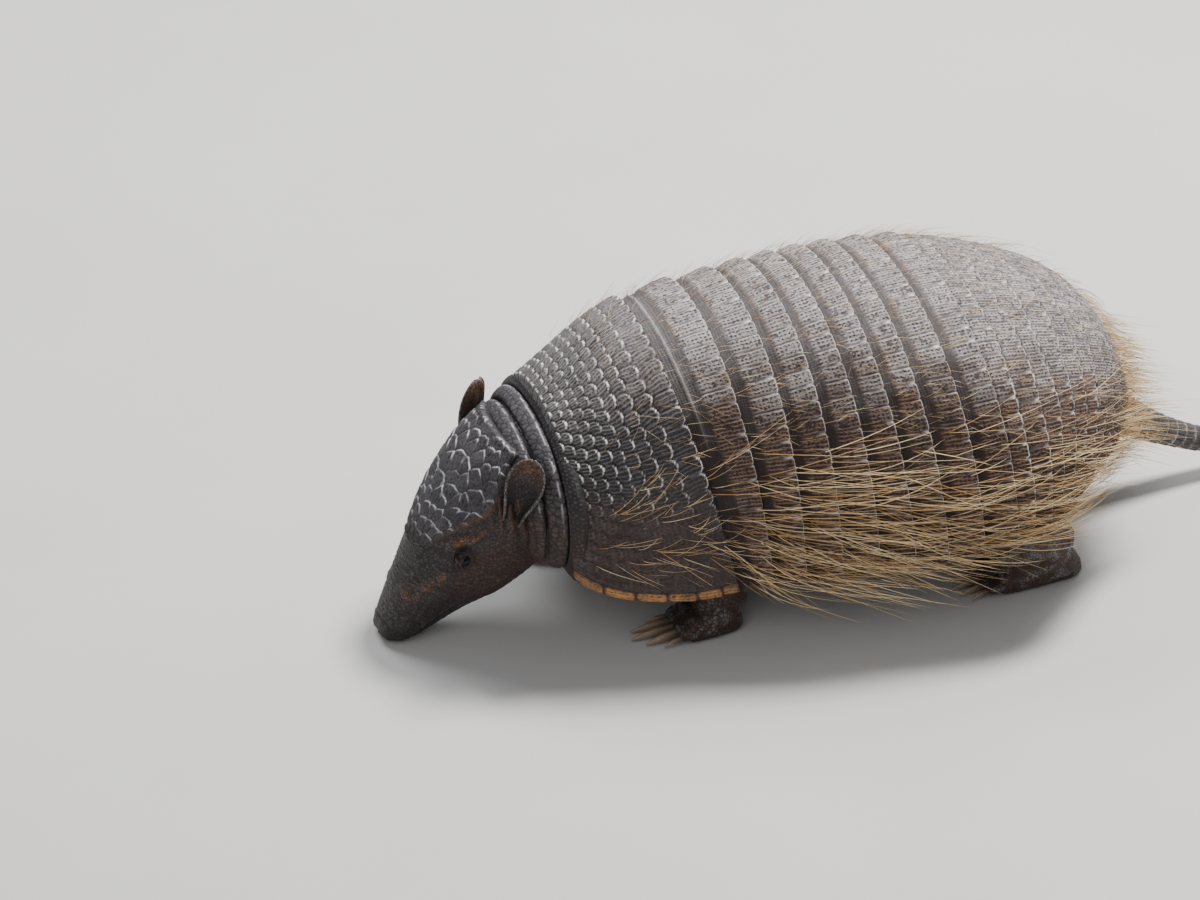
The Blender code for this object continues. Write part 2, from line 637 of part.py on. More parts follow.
def main():
    """Build every sub-part."""
    clear_scene()
    model = Model()
    inset = ARMOUR + 3 * GAP
    model.add("trunk", loft(trunk_rings(inset)), "skin")
    flesh = model.add("cut_flesh", loft(trunk_rings(inset - GAP)), None)
    body = model.add("cut_body", loft(trunk_rings(-GAP)), None)
    build_armour(model)
    build_neck(model)
    build_head(model)
    build_head_shield(model)
    build_ears(model)
    build_tail(model, body)
    build_limbs(model, flesh)
    build_coat(model)


main()
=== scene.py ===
"""The looks of a life-size large hairy armadillo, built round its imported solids.

The animal faces -X with its left side at -Y and stands on z = 0. The trunk, head and neck
are each one formula, and the plates, the skin and the hair are all laid out on them, so
they follow each other. Lengths are metres unless a name ends in _mm.
"""

import logging
from dataclasses import dataclass, field
from enum import Enum
from math import cos, pi, radians, sin

import bpy
import mathutils
import numpy as np
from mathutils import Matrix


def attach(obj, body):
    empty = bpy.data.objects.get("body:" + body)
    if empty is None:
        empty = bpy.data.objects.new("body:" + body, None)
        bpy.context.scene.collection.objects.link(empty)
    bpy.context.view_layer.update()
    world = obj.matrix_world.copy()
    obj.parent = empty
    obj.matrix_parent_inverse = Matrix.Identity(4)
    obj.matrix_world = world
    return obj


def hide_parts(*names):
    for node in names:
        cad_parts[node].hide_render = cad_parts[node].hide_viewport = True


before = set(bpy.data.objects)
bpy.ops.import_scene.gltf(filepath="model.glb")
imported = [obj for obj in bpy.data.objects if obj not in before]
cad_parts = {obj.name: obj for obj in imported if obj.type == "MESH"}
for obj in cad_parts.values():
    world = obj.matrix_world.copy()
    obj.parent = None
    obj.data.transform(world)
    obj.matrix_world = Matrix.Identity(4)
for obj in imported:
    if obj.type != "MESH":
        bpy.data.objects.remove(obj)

LOG = logging.getLogger("armadillo")
Array = np.ndarray
Arrays = tuple[np.ndarray, np.ndarray, np.ndarray]
Values = np.ndarray | float
Pair = tuple[float, float]
Triple = tuple[float, float, float]
Colour = tuple[float, float, float, float]
Ramp = tuple[float, float, float, float]
Rows = tuple[tuple[float, ...], ...]
Material = bpy.types.Material
Socket = bpy.types.NodeSocket
MM = 0.001
LATTICE = 61  # lattice cells before the noise repeats
CELLS = 127  # scutes in a row before their random numbers repeat


class Side(Enum):
    """The animal's two sides, as the sign of their y."""

    LEFT = -1
    RIGHT = 1

    @property
    def label(self) -> str:
        """The side's name in lower case."""
        return self.name.lower()


class Lie(Enum):
    """How steeply a patch of hair rises from the body."""

    LOOSE = 0.22
    RAISED = 0.45


# ---------------------------------------------------------------- arrays
def smooth(knots: Array, values: Array, at: Array) -> Array:
    """Piecewise cubic through values at knots, with slopes from their differences.

    Args:
        knots: Rising positions.
        values: One row per knot, of one or more columns.
        at: Where to read the curve.
    Returns:
        The values there, with a last axis for the columns if there are any.
    """
    knots, values, at = (np.asarray(item, float) for item in (knots, values, at))
    slopes = np.gradient(values, knots, axis=0)
    cell = np.clip(np.searchsorted(knots, at, side="right") - 1, 0, len(knots) - 2)
    width = knots[cell + 1] - knots[cell]
    t = (at - knots[cell]) / width
    if values.ndim > 1:
        t, width = t[..., None], width[..., None]
    t2, t3 = t * t, t * t * t
    return ((2 * t3 - 3 * t2 + 1) * values[cell] + (t3 - 2 * t2 + t) * width * slopes[cell]
            + (3 * t2 - 2 * t3) * values[cell + 1] + (t3 - t2) * width * slopes[cell + 1])


def power(value: Array, exponent: float) -> Array:
    """Signed power, which turns a cosine and sine pair into a superellipse."""
    return np.sign(value) * np.abs(value) ** exponent


def step(low: float, high: float, value: Array) -> Array:
    """Smooth step: 0 below low, 1 above high, with level ends."""
    t = np.clip((np.asarray(value, float) - low) / (high - low), 0, 1)
    return t * t * (3 - 2 * t)


def bump(value: Array, centre: float, width: float) -> Array:
    """Bell curve of a value round a centre."""
    return np.exp(-((value - centre) / width) ** 2)


def unit(vectors: Array) -> Array:
    """Vectors scaled to length one along the last axis."""
    return vectors / np.maximum(np.linalg.norm(vectors, axis=-1, keepdims=True), 1e-12)


def soft_least(a: Array, b: Array, radius: float) -> Array:
    """The lesser of two values, rounded: minus the log of the sum of their exponentials."""
    return -radius * np.log(np.exp(-a / radius) + np.exp(-b / radius))


def cell_share(value: Array) -> Arrays:
    """Whole part of a value, the rest, and how far the rest is from a whole number.

    Args:
        value: Any array.
    Returns:
        The whole part, the rest and the distance.
    """
    whole = np.floor(value)
    rest = value - whole
    return whole, rest, np.minimum(rest, 1 - rest)


def lattice_noise(seed: int, *coordinates: Array) -> Array:
    """Smooth noise in 0 to 1: a random lattice read with smoothed linear weights.

    Args:
        seed: Chooses the lattice.
        coordinates: Two or three arrays, one lattice cell per unit.
    Returns:
        The noise, in the arrays' shared shape.
    """
    coordinates = np.broadcast_arrays(*coordinates)
    table = np.random.default_rng(seed).random((LATTICE,) * len(coordinates))
    cells = [np.floor(c).astype(int) for c in coordinates]
    parts = [c - cell for c, cell in zip(coordinates, cells)]
    parts = [p * p * (3 - 2 * p) for p in parts]
    total = 0.0
    for corner in range(2 ** len(coordinates)):
        bits = [(corner >> axis) & 1 for axis in range(len(coordinates))]
        weight = 1.0
        for part, bit in zip(parts, bits):
            weight = weight * (part if bit else 1 - part)
        total = total + weight * table[tuple((cell + bit) % LATTICE for cell, bit in zip(cells, bits))]
    return total


def speckle(seed: int, size_mm: float, *places: Array) -> Array:
    """Lattice noise over places in metres, with cells of a size in millimetres."""
    return lattice_noise(seed, *(place / (size_mm * MM) for place in places))


def run_along(points: Array) -> Array:
    """Distance from the first point along a path of (points, 3)."""
    return np.concatenate([[0], np.cumsum(np.linalg.norm(np.diff(points, axis=0), axis=1))])


def girth_of(points: Array) -> Array:
    """Length of each row of a (rows, columns, 3) grid, as (rows, 1)."""
    return np.linalg.norm(np.diff(points, axis=1), axis=2).sum(axis=1)[:, None]


def grid_normals(points: Array) -> Array:
    """Unit normals of a (rows, columns, 3) grid, rows crossed with columns."""
    return unit(np.cross(np.gradient(points, axis=0), np.gradient(points, axis=1)))


def upward_normals(points: Array) -> Array:
    """Unit normals of a grid, turned so that its middle column's point up."""
    normal = grid_normals(points)
    return normal * np.sign(normal[:, points.shape[1] // 2, 2].mean())


# ---------------------------------------------------------------- meshes
@dataclass
class MeshData:
    """A mesh as arrays: points, face corners, face sizes and values per point."""

    points: Array
    corners: Array
    sizes: Array
    values: dict[str, Array] = field(default_factory=dict)
    uv: Array | None = None

    def signed_volume(self) -> float:
        """Volume inside the faces, negative if they point inwards."""
        starts = np.repeat(np.cumsum(self.sizes) - self.sizes, self.sizes)
        position = np.arange(len(self.corners)) - starts
        inner = (position >= 1) & (position <= np.repeat(self.sizes, self.sizes) - 2)
        a, b, c = (self.points[self.corners[i]] for i in
                   (starts[inner], np.flatnonzero(inner), np.flatnonzero(inner) + 1))
        return float(np.einsum("ij,ij->", a, np.cross(b, c)) / 6)

    def facing_out(self) -> "MeshData":
        """The same closed mesh with its faces turned outwards."""
        if self.signed_volume() < 0:
            self.corners, self.sizes = self.corners[::-1].copy(), self.sizes[::-1].copy()
        return self

    def normals(self) -> Array:
        """Unit normals at the points of a mesh of quads."""
        quads = self.corners.reshape(-1, 4)
        a, b, c, d = (self.points[quads[:, k]] for k in range(4))
        face = np.cross(c - a, d - b)
        total = np.zeros_like(self.points)
        for k in range(4):
            np.add.at(total, quads[:, k], face)
        return unit(total)

    def mirrored(self) -> "MeshData":
        """The mesh's mirror image across the animal's middle plane."""
        return MeshData(self.points * (1, -1, 1), self.corners[::-1].copy(), self.sizes[::-1].copy(),
                        dict(self.values), self.uv)


def join(meshes: list[MeshData]) -> MeshData:
    """One mesh out of several that hold the same values.

    Args:
        meshes: The meshes, one or more.
    Returns:
        The one mesh.
    """
    offsets = np.cumsum([0] + [len(m.points) for m in meshes[:-1]])
    return MeshData(
        points=np.concatenate([m.points for m in meshes]),
        corners=np.concatenate([m.corners + o for m, o in zip(meshes, offsets)]),
        sizes=np.concatenate([m.sizes for m in meshes]),
        values={n: np.concatenate([m.values[n] for m in meshes]) for n in meshes[0].values})


def tube(rings: Array, values: dict[str, Array] | None = None) -> MeshData:
    """A closed solid through (rows, columns, 3) rings, each end closed by one face.

    Args:
        rings: Points, round each ring in turn.
        values: Values at the points, of (rows, columns) or fewer.
    Returns:
        The solid.
    """
    rows, columns = rings.shape[:2]
    index = np.arange(rows * columns).reshape(rows, columns)
    beside = np.roll(index, -1, axis=1)
    quads = np.stack([index[:-1], beside[:-1], beside[1:], index[1:]], axis=-1).reshape(-1, 4)
    corners = np.concatenate([quads.ravel(), index[0, ::-1], index[-1]])
    sizes = np.concatenate([np.full(len(quads), 4), [columns, columns]])
    kept = {name: np.broadcast_to(grid, (rows, columns)).ravel() for name, grid in (values or {}).items()}
    return MeshData(rings.reshape(-1, 3), corners, sizes, kept).facing_out()


def loop_tube(points: Array, values: dict[str, Array]) -> MeshData:
    """A closed ring solid from a grid that wraps round in both directions.

    Args:
        points: Points of (rows, columns, 3).
        values: Values at the points, of (rows, columns) or fewer.
    Returns:
        The solid.
    """
    index = np.arange(points[..., 0].size).reshape(points.shape[:2])
    down = np.roll(index, -1, axis=0)
    quads = np.stack([index, down, np.roll(down, -1, axis=1), np.roll(index, -1, axis=1)], axis=-1)
    kept = {name: np.broadcast_to(grid, index.shape).ravel() for name, grid in values.items()}
    return MeshData(points.reshape(-1, 3), quads.ravel(), np.full(index.size, 4), kept).facing_out()


def shell(outer: Array, inner: Array, values: dict[str, Array], stride: int = 8) -> MeshData:
    """A closed plate: a fine outer sheet, walls round it, and an inner sheet of fewer rows.

    Args:
        outer: Points of (rows, columns, 3).
        inner: Points of the same shape under them.
        values: Values at the outer points, of (rows, columns) or fewer.
        stride: How many outer rows one inner row stands for.
    Returns:
        The plate.
    """
    rows, columns = outer.shape[:2]
    kept = np.unique(np.append(np.arange(0, rows, stride), rows - 1))
    out = np.arange(rows * columns).reshape(rows, columns)
    under = (rows * columns + np.arange(len(kept) * columns)).reshape(len(kept), columns)
    blocks = [np.stack(quad, axis=-1).ravel() for quad in (
        (out[:-1, :-1], out[1:, :-1], out[1:, 1:], out[:-1, 1:]),
        (under[:-1, :-1], under[:-1, 1:], under[1:, 1:], under[1:, :-1]),
        (out[0, :-1], out[0, 1:], under[0, 1:], under[0, :-1]),
        (out[-1, 1:], out[-1, :-1], under[-1, :-1], under[-1, 1:]))]
    sizes = [np.full(len(block) // 4, 4) for block in blocks]
    for k, (first, last) in enumerate(zip(kept[:-1], kept[1:])):
        near = np.concatenate([out[first:last + 1, 0][::-1], [under[k, 0], under[k + 1, 0]]])
        far = np.concatenate([out[first:last + 1, -1], [under[k + 1, -1], under[k, -1]]])
        blocks += [near, far]
        sizes += [np.array([len(near)]), np.array([len(far)])]
    full = {name: np.broadcast_to(grid, (rows, columns)) for name, grid in values.items()}
    full = {name: np.concatenate([grid.ravel(), grid[kept].ravel()]) for name, grid in full.items()}
    points = np.concatenate([outer.reshape(-1, 3), inner[kept].reshape(-1, 3)])
    return MeshData(points, np.concatenate(blocks), np.concatenate(sizes), full).facing_out()


def add_object(name: str, data: bpy.types.ID | None) -> bpy.types.Object:
    """A new object in the scene that holds the data.

    Args:
        name: The object's name.
        data: Its mesh, light or camera.
    Returns:
        The object.
    """
    thing = bpy.data.objects.new(name, data)
    bpy.context.scene.collection.objects.link(thing)
    return thing


def place(name: str, data: MeshData, material: Material, slot: str,
          replaced: tuple[str, ...] = ()) -> None:
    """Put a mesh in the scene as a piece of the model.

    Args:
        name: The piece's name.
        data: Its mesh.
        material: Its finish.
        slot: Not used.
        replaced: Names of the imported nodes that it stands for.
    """
    mesh = bpy.data.meshes.new(name)
    mesh.vertices.add(len(data.points))
    mesh.vertices.foreach_set("co", data.points.astype(np.float32).ravel())
    mesh.loops.add(len(data.corners))
    mesh.loops.foreach_set("vertex_index", data.corners.astype(np.int32))
    mesh.polygons.add(len(data.sizes))
    mesh.polygons.foreach_set("loop_start", (np.cumsum(data.sizes) - data.sizes).astype(np.int32))
    for key, grid in data.values.items():
        layer = mesh.attributes.new(key, "FLOAT", "POINT")
        layer.data.foreach_set("value", grid.astype(np.float32).ravel())
    if data.uv is not None:
        layer = mesh.uv_layers.new(name="OFBake")
        layer.uv.foreach_set("vector", data.uv[data.corners].astype(np.float32).ravel())
    mesh.update(calc_edges=True)
    mesh.validate()
    mesh.shade_smooth()
    mesh.materials.append(material)
    piece = add_object(name, mesh)
    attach(piece, "root")
    if replaced:
        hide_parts(*replaced)
    LOG.info("%s: %d points, %d faces", name, len(data.points), len(data.sizes))


# ---------------------------------------------------------------- the body's forms
@dataclass(frozen=True)
class TrunkForm:
    """The armour's outer surface, as leaning superellipse sections along the body."""

    origin_x: float = 0.167
    exponent: float = 2 / 2.2
    # x and z on the dorsal line, x and z on the base line, half width
    stations: Rows = (
        (0.0066, 0.1085, 0.0066, 0.0525, 0.0535),
        (0.0470, 0.1380, 0.0690, 0.0510, 0.0625),
        (0.0990, 0.1435, 0.1060, 0.0505, 0.0725),
        (0.1565, 0.1425, 0.1670, 0.0525, 0.0830),
        (0.2110, 0.1310, 0.2130, 0.0575, 0.0885),
        (0.2620, 0.1090, 0.2370, 0.0590, 0.0750),
        (0.2785, 0.0775, 0.2640, 0.0590, 0.0440),
        (0.2795, 0.0590, 0.2785, 0.0575, 0.0040),
    )
    # station, and how far below the base line the armour's edge lies there, in radians
    edge: tuple[Pair, ...] = (
        (0.0, 0.08), (0.23, 0.22), (0.70, 0.26), (1.15, 0.18), (2.0, 0.14), (3.0, 0.12), (4.4, 0.10),
        (6.0, 0.01), (7.0, 0.01))
    shoulder_end: float = 1.15
    band_ends: tuple[float, ...] = (1.65, 2.02, 2.30, 2.55, 2.79, 3.04, 3.35, 3.67)
    hip_end: float = 6.60

    @property
    def last(self) -> float:
        """The last station's number."""
        return float(len(self.stations) - 1)

    def surface(self, station: Array, angle: Array) -> Array:
        """Point on the surface.

        The section runs from the base line to the dorsal line by the signed power of the
        sine, and out to the half width by that of the cosine.

        Args:
            station: Place along the body.
            angle: Angle round the section, 0 at the left flank and pi at the right one.
        Returns:
            Points, with a last axis for x, y and z.
        """
        station, angle = np.broadcast_arrays(np.asarray(station, float), np.asarray(angle, float))
        row = smooth(range(len(self.stations)), self.stations, station)
        along = power(np.sin(angle), self.exponent)
        x = row[..., 2] + along * (row[..., 0] - row[..., 2])
        z = row[..., 3] + along * (row[..., 1] - row[..., 3])
        y = -row[..., 4] * power(np.cos(angle), self.exponent)
        return np.stack([x - self.origin_x, y, z], axis=-1)

    def differences(self, station: Array, angle: Array, reach: float) -> Arrays:
        """Central differences of the surface.

        Args:
            station: Place along the body.
            angle: Angle round the section.
            reach: Half the step, in stations and in radians.
        Returns:
            The step along, the step across, and how many stations the first one covers.
        """
        low, high = np.maximum(station - reach, 0), np.minimum(station + reach, self.last)
        along = self.surface(high, angle) - self.surface(low, angle)
        across = self.surface(station, angle + reach) - self.surface(station, angle - reach)
        return along, across, high - low

    def normal(self, station: Array, angle: Array) -> Array:
        """Outward unit normal of the surface."""
        along, across, _ = self.differences(station, angle, 1e-3)
        return unit(np.cross(along, across))

    def scale(self, station: Array, angle: Array, reach: float = 0.02) -> tuple[Array, Array]:
        """Metres per station and per radian at a place on the surface."""
        along, across, span = self.differences(station, angle, reach)
        return np.linalg.norm(along, axis=-1) / span, np.linalg.norm(across, axis=-1) / (2 * reach)

    def lower_edge(self, station: Array) -> Array:
        """Angle of the armour's lower edge on the left flank, below zero."""
        return -smooth(*zip(*self.edge), station)

    def even_angles(self, station: Array, columns: int) -> tuple[Array, Array]:
        """Angles from edge to edge at equal steps of girth.

        Args:
            station: One station per row.
            columns: How many angles each row gets.
        Returns:
            The angles, and each row's girth.
        """
        low = self.lower_edge(station)[:, None]
        fine = low + np.linspace(0, 1, 241)[None, :] * (pi - 2 * low)
        points = self.surface(station[:, None], fine)
        run = np.cumsum(np.linalg.norm(np.diff(points, axis=1), axis=2), axis=1)
        run = np.concatenate([np.zeros((len(station), 1)), run], axis=1)
        share = np.linspace(0, 1, columns)
        angles = np.stack([np.interp(share, r / r[-1], a) for r, a in zip(run, fine)])
        return angles, run[:, -1]

    def height_share(self, angle: Array) -> Array:
        """Share of the way up from the base line to the dorsal line, 0 below it."""
        return np.maximum(np.sin(angle), 0) ** self.exponent


@dataclass(frozen=True)
class HeadForm:
    """The head as superellipse sections along a line that runs down and forwards."""

    pivot: Triple = (-0.0125, 0.0, 0.1005)
    pitch: float = radians(55.0)
    exponent: float = 2 / 2.25
    middle_share: float = 0.42
    # distance, top, bottom, half width
    sections: Rows = (
        (0.000, 0.0000, -0.0500, 0.0285),
        (0.016, 0.0032, -0.0545, 0.0310),
        (0.034, 0.0040, -0.0555, 0.0300),
        (0.052, 0.0030, -0.0528, 0.0265),
        (0.067, 0.0006, -0.0475, 0.0215),
        (0.080, -0.0020, -0.0392, 0.0170),
        (0.092, -0.0048, -0.0325, 0.0143),
        (0.101, -0.0073, -0.0275, 0.0126),
        (0.1065, -0.0088, -0.0226, 0.0110),
        (0.1090, -0.0100, -0.0192, 0.0088),
    )
    mouth: tuple[Pair, ...] = ((0.0580, -0.0365), (0.0990, -0.0226))

    @property
    def length(self) -> float:
        """Distance from the occiput to the nose."""
        return self.sections[-1][0]

    def point(self, distance: Array, side: Array, height: Array) -> Array:
        """A point of the head's own frame in the world.

        Args:
            distance: Metres ahead of the occiput.
            side: Metres to the right.
            height: Metres over the line that the sections stand on.
        Returns:
            Points, with a last axis for x, y and z.
        """
        x = self.pivot[0] - TRUNK.origin_x - distance * cos(self.pitch) - height * sin(self.pitch)
        z = self.pivot[2] - distance * sin(self.pitch) + height * cos(self.pitch)
        return np.stack(np.broadcast_arrays(x, side, z), axis=-1)

    def own_place(self, points: Array) -> Arrays:
        """Distance, side and height of world points in the head's own frame.

        Args:
            points: World points of (points, 3).
        Returns:
            The three, each of (points,).
        """
        x = points[:, 0] - (self.pivot[0] - TRUNK.origin_x)
        z = points[:, 2] - self.pivot[2]
        return (-x * cos(self.pitch) - z * sin(self.pitch), points[:, 1],
                -x * sin(self.pitch) + z * cos(self.pitch))

    def surface(self, distance: Array, angle: Array, shrink: Array = 1.0) -> Array:
        """World point on the head: a superellipse about a middle a little below the half height.

        Args:
            distance: Metres ahead of the occiput.
            angle: 0 at the left cheek, pi / 2 on the forehead.
            shrink: Scales the section about its middle, to close the nose.
        Returns:
            Points, with a last axis for x, y and z.
        """
        distance, angle, shrink = np.broadcast_arrays(distance, angle, np.asarray(shrink, float))
        knots, rows = [s[0] for s in self.sections], [s[1:] for s in self.sections]
        top, bottom, half = np.moveaxis(smooth(knots, rows, np.minimum(distance, self.length)), -1, 0)
        middle = self.middle_share * bottom + (1 - self.middle_share) * top
        reach = np.where(np.sin(angle) > 0, top - middle, middle - bottom)
        side = -half * shrink * power(np.cos(angle), self.exponent)
        return self.point(distance, side, middle + reach * shrink * power(np.sin(angle), self.exponent))


@dataclass(frozen=True)
class NeckForm:
    """The short neck, from the head's rear face (share 0) to the trunk (share 1)."""

    # middle x, top z, bottom z, half width
    ends: Rows = (
        (-0.0090, 0.0995, 0.0350, 0.0325),
        (0.0060, 0.1055, 0.0300, 0.0500),
    )
    lean: float = 0.10

    def surface(self, share: Array, angle: Array, grow: Array = 0.0) -> Array:
        """Point on the neck: superellipses between the two ends, leaning forward above.

        Args:
            share: Share of the neck's length.
            angle: 0 at the left side, pi / 2 on top.
            grow: How far the section's half width and half height are enlarged.
        Returns:
            Points, with a last axis for x, y and z.
        """
        share, angle, grow = np.broadcast_arrays(share, angle, np.asarray(grow, float))
        ends = np.array(self.ends)
        row = ends[0] + share[..., None] * (ends[1] - ends[0])
        rise = ((row[..., 1] - row[..., 2]) / 2 + grow) * power(np.sin(angle), TRUNK.exponent)
        side = -(row[..., 3] + grow) * power(np.cos(angle), TRUNK.exponent)
        x = row[..., 0] - self.lean * (1 - share) * rise - TRUNK.origin_x
        return np.stack([x, side, (row[..., 1] + row[..., 2]) / 2 + rise], axis=-1)


TRUNK = TrunkForm()
HEAD = HeadForm()
NECK = NeckForm()


# ---------------------------------------------------------------- shader tools
class Graph:
    """Adds and wires the nodes of one shader tree."""

    def __init__(self, tree: bpy.types.NodeTree) -> None:
        """Keep the tree to build in."""
        self.tree = tree

    def add(self, kind: str, inputs: dict | None = None, **settings: object) -> bpy.types.Node:
        """A new node.

        Args:
            kind: The node's type.
            inputs: What each named input is fed with or set to.
            settings: The node's own settings.
        Returns:
            The node.
        """
        node = self.tree.nodes.new(kind)
        for key, value in settings.items():
            setattr(node, key, value)
        for key, value in (inputs or {}).items():
            self.feed(node.inputs[key], value)
        return node

    def feed(self, socket: Socket, value: object) -> None:
        """Link a socket to an output, or set its own value.

        Args:
            socket: The input.
            value: An output, a number or a colour.
        """
        if isinstance(value, Socket):
            self.tree.links.new(value, socket)
        else:
            socket.default_value = value

    def maths(self, operation: str, a: object, b: object = 0.0, clamp: bool = False) -> Socket:
        """Result of one maths operation on two values."""
        return self.add("ShaderNodeMath", {0: a, 1: b}, operation=operation, use_clamp=clamp).outputs[0]

    def times(self, a: object, b: object, clamp: bool = False) -> Socket:
        """Product of two values."""
        return self.maths("MULTIPLY", a, b, clamp)

    def plus(self, a: object, b: object, clamp: bool = False) -> Socket:
        """Sum of two values."""
        return self.maths("ADD", a, b, clamp)

    def blend(self, factor: object, a: object, b: object, mode: str = "MIX") -> Socket:
        """Colour a turned towards colour b by a factor."""
        node = self.add("ShaderNodeMix", {0: factor, 6: a, 7: b}, data_type="RGBA", blend_type=mode)
        return node.outputs[2]

    def ramp(self, value: object, low: float, high: float, start: float = 0.0, end: float = 1.0) -> Socket:
        """Smooth step of a value between two limits, into start to end."""
        inputs = {"Value": value, "From Min": low, "From Max": high, "To Min": start, "To Max": end}
        return self.add("ShaderNodeMapRange", inputs, interpolation_type="SMOOTHSTEP").outputs[0]

    def attribute(self, name: str) -> Socket:
        """A value that the mesh keeps at its points."""
        return self.add("ShaderNodeAttribute", attribute_name=name).outputs["Fac"]

    def spot(self) -> Socket:
        """The point's object coordinates, which are also its place in the world."""
        return self.add("ShaderNodeTexCoord").outputs["Object"]

    def noise(self, vector: object, scale: float, detail: float = 3.0, roughness: float = 0.55) -> Socket:
        """Noise value over a vector."""
        inputs = {"Vector": vector, "Scale": scale, "Detail": detail, "Roughness": roughness}
        return self.add("ShaderNodeTexNoise", inputs).outputs[0]

    def wave(self, turns: object) -> Socket:
        """Cosine of a number of whole turns, from -1 to 1."""
        return self.maths("COSINE", self.times(turns, 2 * pi))

    def dress(self, shader: bpy.types.Node, colour: Socket, roughness: Socket) -> None:
        """Feed a Principled shader its colour and roughness."""
        self.feed(shader.inputs["Base Color"], colour)
        self.feed(shader.inputs["Roughness"], roughness)

    def relieve(self, shader: bpy.types.Node, height: Socket, strength: float, depth_mm: float) -> None:
        """Bend a Principled shader's normal by a height of so many millimetres."""
        inputs = {"Height": height, "Strength": strength, "Distance": depth_mm * MM}
        self.feed(shader.inputs["Normal"], self.add("ShaderNodeBump", inputs).outputs[0])


def new_group(name: str, inputs: dict[str, str], outputs: dict[str, str]) -> tuple:
    """An empty shader node group with named sockets.

    Args:
        name: The group's name.
        inputs: Socket type by input name.
        outputs: Socket type by output name.
    Returns:
        The group, its Graph, its input node and its output node.
    """
    group = bpy.data.node_groups.new(name, "ShaderNodeTree")
    for direction, sockets in (("INPUT", inputs), ("OUTPUT", outputs)):
        for label, kind in sockets.items():
            group.interface.new_socket(name=label, in_out=direction, socket_type="NodeSocket" + kind)
    graph = Graph(group)
    return group, graph, graph.add("NodeGroupInput"), graph.add("NodeGroupOutput")


